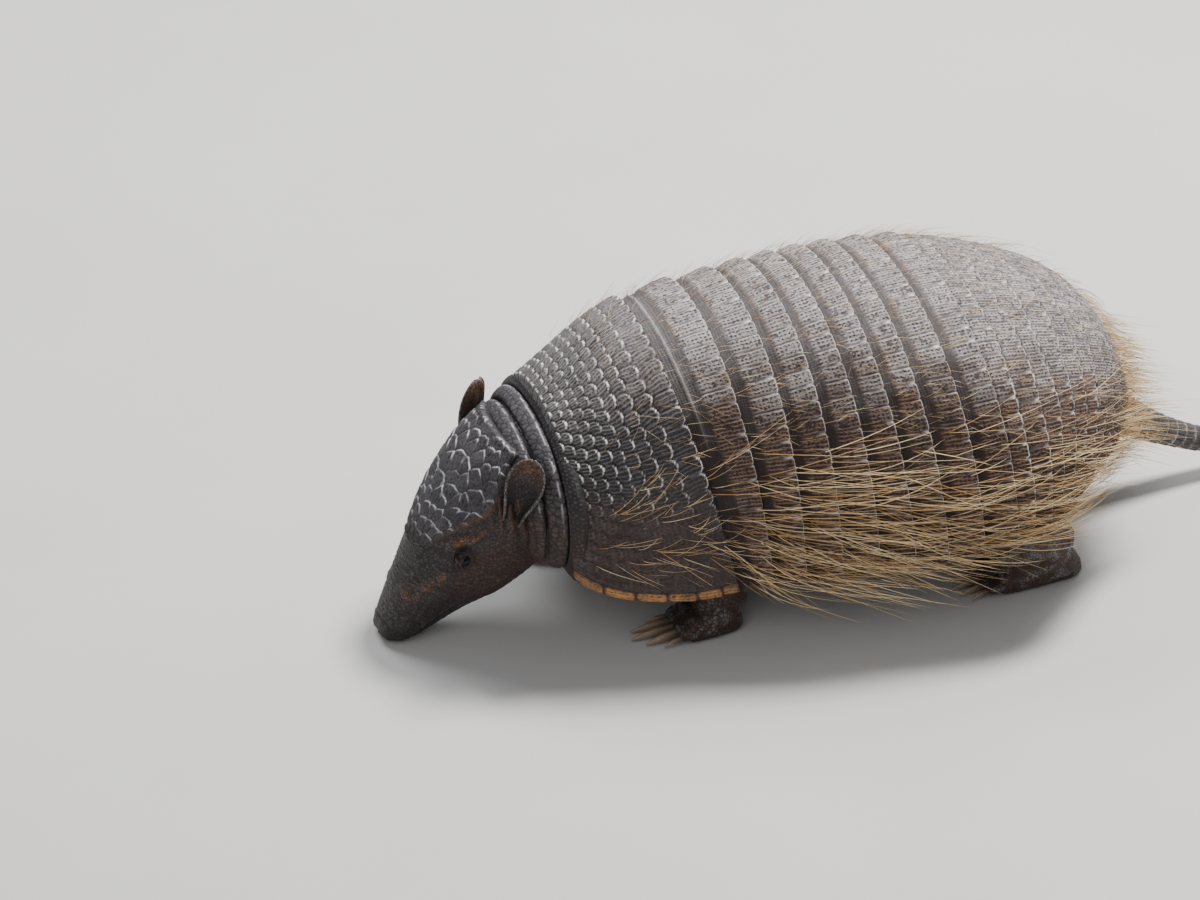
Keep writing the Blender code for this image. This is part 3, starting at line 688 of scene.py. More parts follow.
class Effects:
    """The shader groups that several finishes share."""

    def __init__(self) -> None:
        """Build each group once."""
        self.grain = self.build_grain()
        self.leather = self.build_leather()
        self.plates = self.build_plates()

    def build_grain(self) -> bpy.types.NodeTree:
        """Mottling over centimetres and grain under a millimetre, in object space."""
        group, graph, _, out = new_group("weathered_grain", {}, {"Mottle": "Float", "Grain": "Float"})
        spot = graph.spot()
        graph.feed(out.inputs["Mottle"], graph.ramp(graph.noise(spot, 55.0, 4.0, 0.6), 0.30, 0.70))
        graph.feed(out.inputs["Grain"], graph.noise(spot, 900.0, 4.0, 0.7))
        return group

    def build_leather(self) -> bpy.types.NodeTree:
        """Small flat scales with creases between them, and long fine wrinkles."""
        group, graph, put, out = new_group(
            "scaly_leather", {"Scale": "Float"}, {"Crease": "Float", "Height": "Float"})
        spot = graph.spot()
        wobble = graph.add("ShaderNodeTexNoise", {"Vector": spot, "Scale": 260.0, "Detail": 2.0})
        shifted = graph.add("ShaderNodeVectorMath", {0: wobble.outputs[1], "Scale": 0.0016}, operation="SCALE")
        moved = graph.add("ShaderNodeVectorMath", {0: spot, 1: shifted.outputs[0]}, operation="ADD").outputs[0]
        edge = graph.add("ShaderNodeTexVoronoi", {"Vector": moved, "Scale": put.outputs["Scale"]},
                         feature="DISTANCE_TO_EDGE").outputs["Distance"]
        rounded = graph.ramp(edge, 0.0, 0.16)
        wrinkles = graph.noise(moved, 520.0, 3.0, 0.6)
        graph.feed(out.inputs["Crease"], graph.maths("SUBTRACT", 1.0, rounded))
        graph.feed(out.inputs["Height"], graph.plus(graph.times(rounded, 0.7), graph.times(wrinkles, 0.5)))
        return group

    def build_plates(self) -> bpy.types.NodeTree:
        """Colour of bony plates from their masks.

        The ground turns from flank to back, partly the plates' own tone and partly painted light with the back
        lit and the flank in shade, then to the fore and rust colours, and is mottled. Painted highlights on the
        ridge crests, painted shade in the pits between the ridges with dark specks, painted shade in the
        scutes' own pits, the dark grooves, the soft strips and the pale rims, partly wear and partly painted
        highlights, are then laid over it in that order.
        """
        group, graph, put, out = new_group(
            "bony_plates",
            dict.fromkeys(("Back", "Flank", "Fore", "Groove", "Rim", "Soft", "Rust"), "Color"),
            {"Color": "Color", "Roughness": "Float", "Height": "Float"})
        shared = graph.add("ShaderNodeGroup", node_tree=self.grain)
        mottle, grain = shared.outputs["Mottle"], shared.outputs["Grain"]
        read = {name: graph.attribute(name) for name in (
            "plate", "rim", "pit", "tone", "light", "fore", "soft", "rust", "lines", "steps", "lined")}
        ground = graph.blend(read["light"], put.outputs["Flank"], put.outputs["Back"])
        ground = graph.blend(read["fore"], ground, put.outputs["Fore"])
        ground = graph.blend(graph.times(read["rust"], graph.ramp(mottle, 0.0, 0.8, 0.45, 0.95)),
                             ground, put.outputs["Rust"])
        vary = graph.plus(graph.times(read["tone"], 0.30), 0.85)
        vary = graph.times(vary, graph.ramp(mottle, 0.0, 1.0, 0.84, 1.12))
        vary = graph.times(vary, graph.ramp(grain, 0.25, 0.75, 0.58, 1.38))
        shade = graph.add("ShaderNodeCombineColor", {0: vary, 1: vary, 2: vary}).outputs[0]
        ground = graph.blend(1.0, ground, shade, "MULTIPLY")

        spot, lined = graph.spot(), read["lined"]
        wobble = graph.noise(spot, 330.0, 2.0)
        ridge = graph.wave(graph.plus(read["lines"], graph.times(wobble, 0.9)))
        dot = graph.wave(graph.plus(graph.times(read["steps"], 0.56), graph.times(read["tone"], 3.0)))
        # Painted shade in the pits between the ridges, and a painted highlight on their crests that is stronger
        # on the lit back.
        holes = graph.times(graph.ramp(ridge, -0.75, 0.10, 1.0, 0.0), graph.ramp(dot, -0.35, 0.55, 0.16, 1.0))
        holes = graph.times(graph.times(holes, lined), graph.ramp(wobble, 0.30, 0.50, 0.45, 1.0))
        speck = graph.times(graph.ramp(graph.noise(spot, 430.0, 3.0, 0.62), 0.52, 0.62), lined)
        ridge_highlight = graph.times(graph.times(graph.ramp(ridge, 0.2, 1.0), lined),
                            graph.ramp(read["light"], 0.0, 0.8, 0.16, 0.36))
        # Laid in order: painted highlight on the crests, painted shade in the ridge pits with dark specks,
        # painted shade in the scutes' own pits, the dark grooves, the soft strips, and the pale rims, partly
        # wear and partly painted highlight.
        layers = (
            (ridge_highlight, "Rim"),
            (graph.maths("MAXIMUM", graph.times(holes, 0.95), graph.times(speck, 0.78)), "Groove"),
            (graph.times(read["pit"], graph.ramp(grain, 0.30, 0.55, 0.55, 1.0)), "Groove"),
            (graph.times(graph.maths("SUBTRACT", 1.0, read["plate"]), 0.90), "Groove"),
            (graph.times(read["soft"], graph.ramp(grain, 0.2, 0.7, 0.6, 1.0)), "Soft"),
            (graph.times(read["rim"], graph.ramp(grain, 0.30, 0.52, 0.45, 1.0), clamp=True), "Rim"))
        for mask, colour in layers:
            ground = graph.blend(mask, ground, put.outputs[colour])
        graph.feed(out.inputs["Color"], ground)
        graph.feed(out.inputs["Roughness"], graph.ramp(graph.plus(read["rim"], grain), 0.3, 1.4, 0.78, 0.50))
        relief = graph.plus(graph.times(grain, 0.8), graph.times(holes, -1.3))
        graph.feed(out.inputs["Height"], graph.plus(relief, graph.times(read["pit"], -0.6)))
        return group


def new_material(name: str) -> tuple[Material, Graph, bpy.types.Node]:
    """A material with only a Principled shader, ready to wire.

    Args:
        name: The material's name.
    Returns:
        The material, its Graph and the shader node.
    """
    material = bpy.data.materials.new(name)
    material.use_nodes = True
    material.node_tree.nodes.clear()
    graph = Graph(material.node_tree)
    shader = graph.add("ShaderNodeBsdfPrincipled")
    graph.add("ShaderNodeOutputMaterial", {"Surface": shader.outputs[0]})
    return material, graph, shader


@dataclass(frozen=True)
class PlateFinish:
    """Bony scutes: a pale back and brown flanks, partly their own tone and partly painted light with the back
    lit and the flank in shade, dark grooves, and pale rims that are partly wear and partly painted highlights.
    """

    name: str
    back: Colour
    flank: Colour
    fore: Colour
    groove: Colour
    rim: Colour
    soft: Colour
    rust: Colour
    relief_mm: float = 0.22

    def build(self, effects: Effects) -> Material:
        """The finish as a material.

        Args:
            effects: The shared shader groups.
        Returns:
            The material.
        """
        material, graph, shader = new_material(self.name)
        plates = graph.add("ShaderNodeGroup", node_tree=effects.plates)
        for label in ("back", "flank", "fore", "groove", "rim", "soft", "rust"):
            plates.inputs[label.title()].default_value = getattr(self, label)
        graph.dress(shader, plates.outputs["Color"], plates.outputs["Roughness"])
        graph.relieve(shader, plates.outputs["Height"], 0.8, self.relief_mm)
        shader.inputs["Specular IOR Level"].default_value = 0.42
        return material


@dataclass(frozen=True)
class SkinFinish:
    """Dark leathery skin with small scales, rusty patches, pale marks that are partly wear and partly painted
    highlights, and painted shade in its creases and holes.
    """

    name: str = "leathery_skin"
    base: Colour = (0.030, 0.021, 0.021, 1)
    deep: Colour = (0.016, 0.011, 0.011, 1)
    rust: Colour = (0.240, 0.098, 0.034, 1)
    # Pale: wear marks and painted highlights, such as the ears' lit rims. Crease: painted shade in creases,
    # holes and round the eyes.
    worn: Colour = (0.30, 0.27, 0.25, 1)
    crease: Colour = (0.010, 0.007, 0.006, 1)
    scales_per_m: float = 560.0
    relief_mm: float = 0.30

    def build(self, effects: Effects) -> Material:
        """The finish as a material; it reads the values rust, crease and pale.

        Args:
            effects: The shared shader groups.
        Returns:
            The material.
        """
        material, graph, shader = new_material(self.name)
        leather = graph.add("ShaderNodeGroup", node_tree=effects.leather)
        leather.inputs["Scale"].default_value = self.scales_per_m
        crease, height = leather.outputs["Crease"], leather.outputs["Height"]
        grain = graph.add("ShaderNodeGroup", node_tree=effects.grain)
        colour = graph.blend(graph.ramp(grain.outputs["Mottle"], 0.1, 0.9), self.base, self.deep)
        patch = graph.times(graph.attribute("rust"), graph.ramp(grain.outputs["Grain"], 0.3, 0.6, 0.5, 1.0))
        pale = graph.times(graph.attribute("pale"), graph.ramp(crease, 0.2, 0.8, 1.0, 0.3))
        # Painted shade: the scales' own creases and the crease value darken the skin.
        dark = graph.maths("MAXIMUM", graph.times(crease, 0.72), graph.attribute("crease"))
        for mask, layer in ((patch, self.rust), (pale, self.worn), (dark, self.crease)):
            colour = graph.blend(mask, colour, layer)
        graph.dress(shader, colour, graph.ramp(height, 0.2, 1.0, 0.74, 0.52))
        graph.relieve(shader, height, 0.9, self.relief_mm)
        return material


@dataclass(frozen=True)
class HairFinish:
    """Coarse hair whose strands differ from dark brown to straw and pale, paler to the tip and darker at the
    root; partly their own colour and partly painted light, with sunlit tips and shade at the roots and between
    the strands.
    """

    name: str = "straw_hair"
    dark: Colour = (0.085, 0.042, 0.018, 1)
    straw: Colour = (0.60, 0.340, 0.120, 1)
    pale: Colour = (1.0, 0.80, 0.48, 1)

    def build(self) -> Material:
        """The finish as a material; it reads the values strand and along."""
        material, graph, shader = new_material(self.name)
        strand, along = graph.attribute("strand"), graph.attribute("along")
        # Strands range from dark to pale, partly their own colour and partly painted light; tips are paled as a
        # painted highlight and roots darkened as painted shade.
        colour = graph.blend(graph.ramp(strand, 0.10, 0.55), self.dark, self.straw)
        colour = graph.blend(graph.ramp(strand, 0.52, 0.88), colour, self.pale)
        colour = graph.blend(graph.times(graph.ramp(along, 0.35, 1.0), 0.60), colour, self.pale)
        colour = graph.blend(graph.times(graph.ramp(along, 0.0, 0.22, 1.0, 0.0), 0.55), colour, self.dark)
        graph.dress(shader, colour, graph.ramp(strand, 0.0, 1.0, 0.50, 0.36))
        shader.inputs["Specular IOR Level"].default_value = 0.45
        return material


@dataclass(frozen=True)
class EyeFinish:
    """A wet dark eye with a brown iris."""

    pupil: Colour = (0.004, 0.003, 0.003, 1)
    iris: Colour = (0.030, 0.014, 0.008, 1)

    def build(self) -> Material:
        """The finish as a material; it reads the value iris, an angle from the front."""
        material, graph, shader = new_material("wet_eye")
        ring = graph.ramp(graph.attribute("iris"), 0.42, 0.62)
        streak = graph.ramp(graph.noise(graph.spot(), 1800.0, 3.0), 0.3, 0.7, 0.5, 1.0)
        graph.feed(shader.inputs["Base Color"], graph.blend(graph.times(ring, streak), self.pupil, self.iris))
        shader.inputs["Roughness"].default_value = 0.14
        shader.inputs["Specular IOR Level"].default_value = 0.22
        return material


@dataclass(frozen=True)
class HornFinish:
    """Worn horn: brown at the root, paler and scratched towards the tip."""

    root: Colour = (0.050, 0.030, 0.020, 1)
    tip: Colour = (0.33, 0.25, 0.17, 1)
    relief_mm: float = 0.12

    def build(self) -> Material:
        """The finish as a material; it reads the value along."""
        material, graph, shader = new_material("worn_horn")
        stretched = graph.add("ShaderNodeMapping", {"Vector": graph.spot()}, vector_type="POINT")
        stretched.inputs["Scale"].default_value = (120.0, 1500.0, 1500.0)
        grooves = graph.noise(stretched.outputs[0], 1.0, 3.0, 0.6)
        along = graph.ramp(graph.attribute("along"), 0.0, 0.8)
        share = graph.plus(along, graph.times(grooves, 0.35), clamp=True)
        graph.dress(shader, graph.blend(share, self.root, self.tip), graph.ramp(grooves, 0.3, 0.7, 0.34, 0.52))
        graph.relieve(shader, grooves, 0.5, self.relief_mm)
        return material


# ---------------------------------------------------------------- scutes
class Pattern(Enum):
    """How scutes meet: as irregular polygons, or in rows like bricks or fish scales."""

    POLYGONS = "polygons"
    BRICKS = "bricks"


@dataclass
class Laid:
    """Scutes as seen from each point: distance to the border, place inside, and a random tone."""

    border: Array
    across: Array
    rearward: Array
    tone: Array
    column: Values = 0.0


@dataclass(frozen=True)
class ScuteRows:
    """Rows of scutes across a shield, each row with its own count and length."""

    counts: tuple[float, ...]
    lengths_mm: tuple[float, ...]
    pattern: Pattern
    jitter: float = 0.17
    soften: float = 0.28 * MM
    scallop_mm: float = 0.0
    seed: int = 1
    stagger: float = 0.5
    shift: float = 0.06

    def row_at(self, share: Array) -> Array:
        """Row number, with its fraction, at a share of the shield's length."""
        edges = np.cumsum((0.0,) + self.lengths_mm) / sum(self.lengths_mm)
        return np.interp(share, edges, np.arange(len(edges)))

    def lay(self, share: Array, row: Array, girth: Array) -> Laid:
        """Find each point's scute.

        Args:
            share: Place across, -0.5 to 0.5 from edge to edge.
            row: Row number with its fraction.
            girth: Metres from edge to edge.
        Returns:
            What the scutes say of each point.
        """
        table = np.random.default_rng(self.seed).random((4, CELLS, CELLS))
        lay = self.lay_bricks if self.pattern is Pattern.BRICKS else self.lay_polygons
        return lay(*np.broadcast_arrays(share, row, girth), table, np.array(self.lengths_mm) * MM,
                   np.array(self.counts))

    def lay_bricks(self, share: Array, row: Array, girth: Array, table: Array, lengths: Array,
                   counts: Array) -> Laid:
        """Scutes in rows, each with a rear edge that bulges back over the next row.

        A scute ends at its length less the scallop times the square of the place across,
        and a point past that end belongs to the row behind, whose front fills the notch.

        Args:
            share: Place across.
            row: Row number with its fraction.
            girth: Metres from edge to edge.
            table: Random numbers.
            lengths: Metres along each row.
            counts: Scutes in each row.
        Returns:
            What the scutes say of each point.
        """
        bulge = self.scallop_mm * MM
        number = np.clip(np.floor(row), 0, len(counts) - 1).astype(int)
        for _ in range(2):
            offset = self.stagger * (number % 2) + self.shift * table[2, number % CELLS, 5]
            column = share * counts[number] + offset
            whole, frac, to_side = cell_share(column)
            part, notch = row - number, bulge * (2 * frac - 1) ** 2
            behind = (part * lengths[number] > lengths[number] - notch) & (part >= 0)
            passed = number + (behind & (number < len(counts) - 1))
            if np.array_equal(passed, number):
                break
            number = passed
        cell = whole.astype(int) % CELLS
        lean = self.jitter * (table[0, cell, number] - 0.5)
        front = (part + lean * (0.5 - part)) * lengths[number] + bulge * (1 - np.abs(2 * frac - 1)) ** 2
        reach = np.minimum(front, (1 - part) * lengths[number] - notch)
        border = soft_least(to_side * girth / counts[number], reach, self.soften)
        return Laid(border, 2 * frac - 1, 2 * part - 1, table[1, cell, number], column)

    def lay_polygons(self, share: Array, row: Array, girth: Array, table: Array, lengths: Array,
                     counts: Array) -> Laid:
        """Irregular scutes: the regions nearest to jittered centres.

        The border distance is the rounded least of the distances to the lines half way
        between the nearest centre and each of its neighbours.

        Args:
            share: Place across.
            row: Row number with its fraction.
            girth: Metres from edge to edge.
            table: Random numbers.
            lengths: Metres along each row.
            counts: Scutes in each row.
        Returns:
            What the scutes say of each point.
        """
        seen = []
        base = np.floor(row)
        for row_step in (-1, 0, 1):
            number = np.clip(base + row_step, -1, len(counts)).astype(int)
            held = np.clip(number, 0, len(counts) - 1)
            column = share * counts[held] + self.stagger * (number % 2)
            whole = np.floor(column)
            for column_step in (-1, 0, 1):
                cell = (whole + column_step).astype(int) % CELLS
                off_x, off_y = (self.jitter * (2 * table[k, cell, number % CELLS] - 1) for k in (0, 1))
                seen.append(((column - (whole + column_step + 0.5 + off_x)) * girth / counts[held],
                             (row - (number + 0.5 + off_y)) * lengths[held], table[2, cell, number % CELLS]))
        across, along, tones = (np.stack(item) for item in zip(*seen))
        square = across ** 2 + along ** 2
        nearest = square.argmin(axis=0)[None]
        own = [np.take_along_axis(item, nearest, 0) for item in (across, along, square, tones)]
        reach = (square - own[2]) / np.maximum(2 * np.hypot(across - own[0], along - own[1]), 1e-9)
        np.put_along_axis(reach, nearest, 1.0, 0)
        reach = np.minimum(reach, 0.03)
        low = reach.min(axis=0)
        border = low - self.soften * np.log(np.exp(-(reach - low) / self.soften).sum(axis=0))
        half = lengths[np.clip(base, 0, len(counts) - 1).astype(int)] / 2
        return Laid(border, own[0][0] / half, own[1][0] / half, own[3][0])


@dataclass(frozen=True)
class ScuteProfile:
    """How one scute rises: a domed edge, a tilt to the rear, ridges and pits."""

    dome_mm: float = 0.55
    edge_mm: float = 0.45
    tilt_mm: float = 0.35
    ridge_mm: float = 0.0
    ridges: int = 4
    pit_mm: float = 0.16
    rim_start_mm: float = 0.15
    rim_width_mm: float = 0.75
    rim_strength: float = 1.0
    gap_mm: float = 0.50
    rough_mm: float = 0.10

    def raise_plates(self, laid: Laid, across: Array, along: Array, seed: int) -> dict[str, Array]:
        """Height and masks of the scutes.

        The height is a saturating dome of the border distance, plus a tilt that grows to
        the rear, plus cosine ridges across, less the pits between them.

        Args:
            laid: The scutes.
            across: Metres across, for the fine pits.
            along: Metres along, for the same.
            seed: Chooses the pits.
        Returns:
            Height in metres and the masks plate, rim, pit and tone.
        """
        inside = np.maximum(laid.border, 0) / MM
        rise = 1 - np.exp(-inside / self.edge_mm)
        rear = np.clip(0.5 + 0.5 * laid.rearward, 0, 1)
        height = self.dome_mm * rise + self.tilt_mm * rear ** 2 * rise
        # pit marks small pits, sunk in the height and darkened as painted shade in the finish.
        pit = bump(inside, 1.55, 0.55) * step(0.60, 0.80, speckle(seed, 0.85, across, along))
        pit = pit * step(0.5, 1.0, inside)
        if self.ridge_mm:
            lines = np.cos(pi * self.ridges * laid.across) * (1 - 2 * (self.ridges % 2))
            middle = step(0.7, 1.3, inside)
            height = height + self.ridge_mm * lines * middle
            dots = 0.5 + 0.5 * np.cos(2 * pi * along / (1.25 * MM) + 5 * laid.tone)
            between = step(0.10, 0.85, -lines)
            pit = np.maximum(pit * 0.8, 0.5 * between * (0.2 + 0.8 * dots ** 2) * middle)
        rough = speckle(seed + 3, 1.6, across, along) - 0.5
        height = height - self.pit_mm * pit + self.rough_mm * rough * rise
        # The rim is a pale band along each scute's border, strongest at the rear: partly wear and partly a
        # painted highlight, broken up by a noise.
        fading, gone = (self.rim_start_mm + self.rim_width_mm * share for share in (0.55, 1.3))
        band = step(0.0, self.rim_start_mm + 0.2, inside) * (1 - step(fading, gone, inside))
        worn = step(0.18, 0.72, speckle(seed + 5, 3.1, across, along))
        rim = self.rim_strength * band * (0.06 + 0.94 * step(0.25, 0.85, laid.rearward)) * (0.35 + 0.65 * worn)
        return {"height": height * MM, "plate": step(0.06, self.gap_mm, inside), "rim": rim,
                "pit": np.clip(pit, 0, 1), "tone": laid.tone}


def plate_values(masks: dict[str, Array], **others: Values) -> dict[str, Array]:
    """What the plates' finish reads: the scutes' masks, then others, then 0."""
    own = {name: masks[name] for name in ("plate", "rim", "pit", "tone")}
    return dict.fromkeys(("light", "fore", "soft", "rust"), 0.0) | own | others


def back_light(station: Array, angle: Array) -> Array:
    """How far the armour's pale back colour reaches: 1 on top, 0 low on the flank. This is partly the armour's
    own tone and partly painted light: the lit top painted pale and the low flank painted in shade.
    """
    cloud = lattice_noise(80, station / 0.16, angle / 0.09) - 0.5
    return step(0.56, 1.04, TRUNK.height_share(angle) + 0.26 * cloud)


@dataclass
class BandArmour:
    """One free band: a soft strip in front, then a row of long scutes with ridges."""

    number: int
    start: float
    end: float
    soft_share: float = 0.27
    soft_tone: float = 0.42
    crease: float = 0.0
    count: int = 42
    slit: float = 0.010
    tuck: float = 0.030
    thick: float = 2.0 * MM
    lift: float = 1.05 * MM
    sink: float = 1.1 * MM
    scallop: float = 0.45 * MM
    spacing: float = 0.50 * MM
    profile: ScuteProfile = ScuteProfile(
        dome_mm=0.62, edge_mm=0.30, tilt_mm=0.50, ridge_mm=0.13, pit_mm=0.20, rim_start_mm=0.02,
        rim_width_mm=0.46, rim_strength=1.15)

    def build(self) -> MeshData:
        """The band as a closed plate, its rear edge raised over the next one.

        The outer sheet is the trunk's surface moved along its normal by a smooth step that
        rises to the rear, plus the scutes' height, plus cosine folds on the soft strip.
        """
        girth = float(TRUNK.even_angles(np.array([self.end]), 3)[1][0])
        columns = int(girth / self.spacing)
        length = float(np.linalg.norm(np.diff(TRUNK.surface(np.array([self.start, self.end]), 1.1), axis=0)))
        t = np.linspace(0, 1, int(length / self.spacing) + 4)[:, None]
        first, last = self.start + self.slit - self.tuck, self.end - self.slit
        angles, girths = TRUNK.even_angles(first + t[:, 0] * (last - first), columns)
        girths = girths[:, None]
        share = np.linspace(-0.5, 0.5, columns)[None, :]
        across = share * girths
        column = share * self.count + 0.16 * (lattice_noise(40 + self.number, share * 9, t * 1.3) - 0.5)
        whole, frac, to_side = cell_share(column)
        notch = self.scallop * (2 * np.abs(frac - 0.5)) ** 5 / length
        station = first + (t * (1 - notch)) * (last - first)
        inside = (t - (self.soft_share + 0.012 * np.cos(2 * pi * frac))) * length
        border = soft_least(to_side * girths / self.count, (1 - t) * length + 0.25 * MM, 0.30 * MM)
        tone = np.random.default_rng(900 + self.number).random(CELLS)[(whole.astype(int) + 200) % CELLS]
        part = np.clip(inside / (length * (1 - self.soft_share)), 0, 1)
        masks = self.profile.raise_plates(Laid(border, 2 * frac - 1, 2 * part - 1, tone), across, t * length,
                                          60 + self.number)

        on_plate = step(-0.3 * MM, 2.6 * MM, inside)
        strip = 1 - on_plate
        lines = np.cos(2 * pi * across / (1.15 * MM) + 4 * lattice_noise(70 + self.number, share * 50, t * 4))
        wrinkle = np.sin(2 * pi * t * length / (1.3 * MM)
                         + 5 * lattice_noise(75 + self.number, share * 46, t * 5))
        base = -self.sink + (self.lift + self.sink) * step(0.0, 1.0, t) ** 1.2
        offset = (base + masks["height"] * on_plate + strip * ((0.17 * lines + 0.12 * wrinkle) * MM - 0.35 * MM)
                  + self.crease * strip * 0.55 * MM * bump(t, 0.24, 0.035))
        # light is the pale and lit back share: as painted light it brightens the rims and the soft strip on
        # top, and leaves them dark low on the flank.
        light = back_light(station, angles)
        crease = self.crease * strip * 0.38 * bump(t, 0.24, 0.022) * light
        patches = step(0.42, 0.62, lattice_noise(85 + self.number, share * 22, t))
        values = {name: masks[name] * on_plate for name in ("plate", "rim", "pit")}
        values |= {
            "rim": values["rim"] * (0.62 + 0.38 * light) + crease,
            "tone": tone * on_plate + 0.5 * strip, "light": light, "fore": 0.0,
            "soft": strip * (0.25 + 0.75 * step(-0.3, 0.9, 0.6 * lines + 0.6 * wrinkle))
            * (light * self.soft_tone + 0.06),
            "rust": 0.42 * bump(inside, 1.2 * MM, 1.1 * MM) * patches * light,
            "lines": 4.0 * column, "steps": t * length / MM,
            "lined": on_plate * step(0.3 * MM, 1.0 * MM, border),
        }
        normal = TRUNK.normal(station, angles)
        surface = TRUNK.surface(station, angles)
        inner = surface - (self.thick - np.minimum(base, 0))[..., None] * normal
        return shell(surface + offset[..., None] * normal, inner, values)


@dataclass
class ShieldArmour:
    """A large fixed shield of the trunk, tiled with rows of scutes.

    Fore is 1 for the dark shoulder shield, whose lower flank is plain lined hide, and 0
    for the hips.
    """

    start: float
    end: float
    rows: ScuteRows
    profile: ScuteProfile
    lift: float
    fore: float
    spacing: float
    dip: float
    seed: int
    thick: float = 2.2 * MM
    margin: float = 5.8 * MM

    def lay_margin(self, laid: Laid, to_edge: Array, along: Array) -> None:
        """Give the lower edge its own row of rounded scutes.

        Args:
            laid: The scutes, changed in place near the edge.
            to_edge: Metres up from the lower edge.
            along: Metres back from the front.
        """
        length = 1.7 * self.margin
        _, frac, to_side = cell_share(along / length)
        rise = np.minimum(to_edge + 0.4 * MM, self.margin - to_edge)
        near = to_edge < self.margin
        laid.border = np.where(near, soft_least(to_side * length, rise, 0.6 * MM),
                               np.minimum(laid.border, to_edge - self.margin))
        laid.rearward = np.where(near, 2 * frac - 1, laid.rearward)

    def plain_flank(self, masks: dict[str, Array], across: Array, along: Array, angles: Array,
                    above: Array) -> Array:
        """Turn the scutes low on the front of the flank into fine lined hide.

        Args:
            masks: Height and masks of the scutes, changed in place.
            across: Metres across.
            along: Metres back from the front.
            angles: Angles round the body.
            above: Metres up from the margin scutes.
        Returns:
            How plain each point is, 0 to 1.
        """
        cloud = speckle(self.seed + 9, 9, across, along) - 0.5
        level = TRUNK.height_share(angles) + 0.25 * cloud + 0.22 * (along / along.max() - 0.5)
        plain = (1 - step(0.26, 0.62, level)) * step(0, 1 * MM, above)
        wander = 2.6 * speckle(self.seed + 10, 4, across, along)
        lines = np.cos(2 * pi * along / (2.2 * MM) + 2.2 * wander)
        cross = np.cos(2 * pi * across / (2.0 * MM) + 2.6 * wander + 1.9 * np.floor(along / (2.2 * MM)))
        masks["height"] = masks["height"] * (1 - 0.62 * plain) + plain * (0.13 * lines + 0.10 * cross) * MM
        masks["rim"] = masks["rim"] * (1 - 0.95 * plain)
        masks["plate"] = 1 - (1 - masks["plate"]) * (1 - 0.35 * plain)
        masks["pit"] = masks["pit"] * (1 - plain) + 0.90 * plain * step(0.25, 0.95, -0.6 * lines - 0.5 * cross)
        return plain

    def build(self) -> MeshData:
        """The shield as a closed plate with its margin scutes along the lower edge.

        The outer sheet is the trunk's surface moved along its normal by the scutes' height,
        plus a lift that grows with the power 1.5 of the share along, less a dip in front.
        """
        probe = np.linspace(self.start, self.end, 60)
        run = run_along(TRUNK.surface(probe, 1.05))
        along = np.linspace(0, run[-1], int(run[-1] / self.spacing))
        station = np.interp(along, run, probe)
        widest = TRUNK.even_angles(np.linspace(self.start, self.end, 7), 3)[1].max()
        angles, girth = TRUNK.even_angles(station, int(widest / self.spacing))
        share, along, girth, station = np.broadcast_arrays(
            np.linspace(-0.5, 0.5, angles.shape[1])[None, :], along[:, None], girth[:, None], station[:, None])
        across = share * girth
        wave = 0.20 * (lattice_noise(self.seed, share * 14, along / (11 * MM)) - 0.5)
        sway = 0.010 * (lattice_noise(self.seed + 1, share * 19, along / (9 * MM)) - 0.5)
        laid = self.rows.lay(share + sway * self.fore, self.rows.row_at(along / run[-1]) + wave, girth)
        to_edge = (0.5 - np.abs(share)) * girth
        above = to_edge - self.margin
        self.lay_margin(laid, to_edge, along)
        masks = self.profile.raise_plates(laid, across, along, self.seed)
        plain = self.plain_flank(masks, across, along, angles, above) if self.fore else 0.0
        t = along / run[-1]
        # back lightens the dark shoulder colour on top, partly the shield's own tone and partly painted light
        # on its lit top.
        back = step(0.72, 1.08, np.maximum(np.sin(angles), 0) ** 0.9 + 0.10 * t)
        margin = 1 - step(0.0, 0.2 * MM, above)
        values = plate_values(
            masks, light=back_light(station, angles), rim=masks["rim"] * step(0.2 * MM, 2.0 * MM, above),
            fore=self.fore * (1 - 0.50 * back) * (1 - 0.5 * margin) * (1 - 0.30 * plain),
            rust=margin * (0.5 + 0.5 * self.fore) * step(0.0, 1.0 * MM, laid.border),
            lines=4.0 * laid.column, steps=along / MM,
            lined=(1 - 0.50 * self.fore) * (1 - plain) * step(0.2 * MM, 0.9 * MM, laid.border))
        base = self.lift * t ** 1.5 - 0.5 * MM * (1 - step(0, 2.5 * MM, to_edge))
        base = base - self.dip * (1 - step(0, 4.0 * MM, along)) ** 1.5
        normal = TRUNK.normal(station, angles)
        surface = TRUNK.surface(station, angles)
        outer = surface + (base + masks["height"])[..., None] * normal
        return shell(outer, surface - self.thick * normal, values)


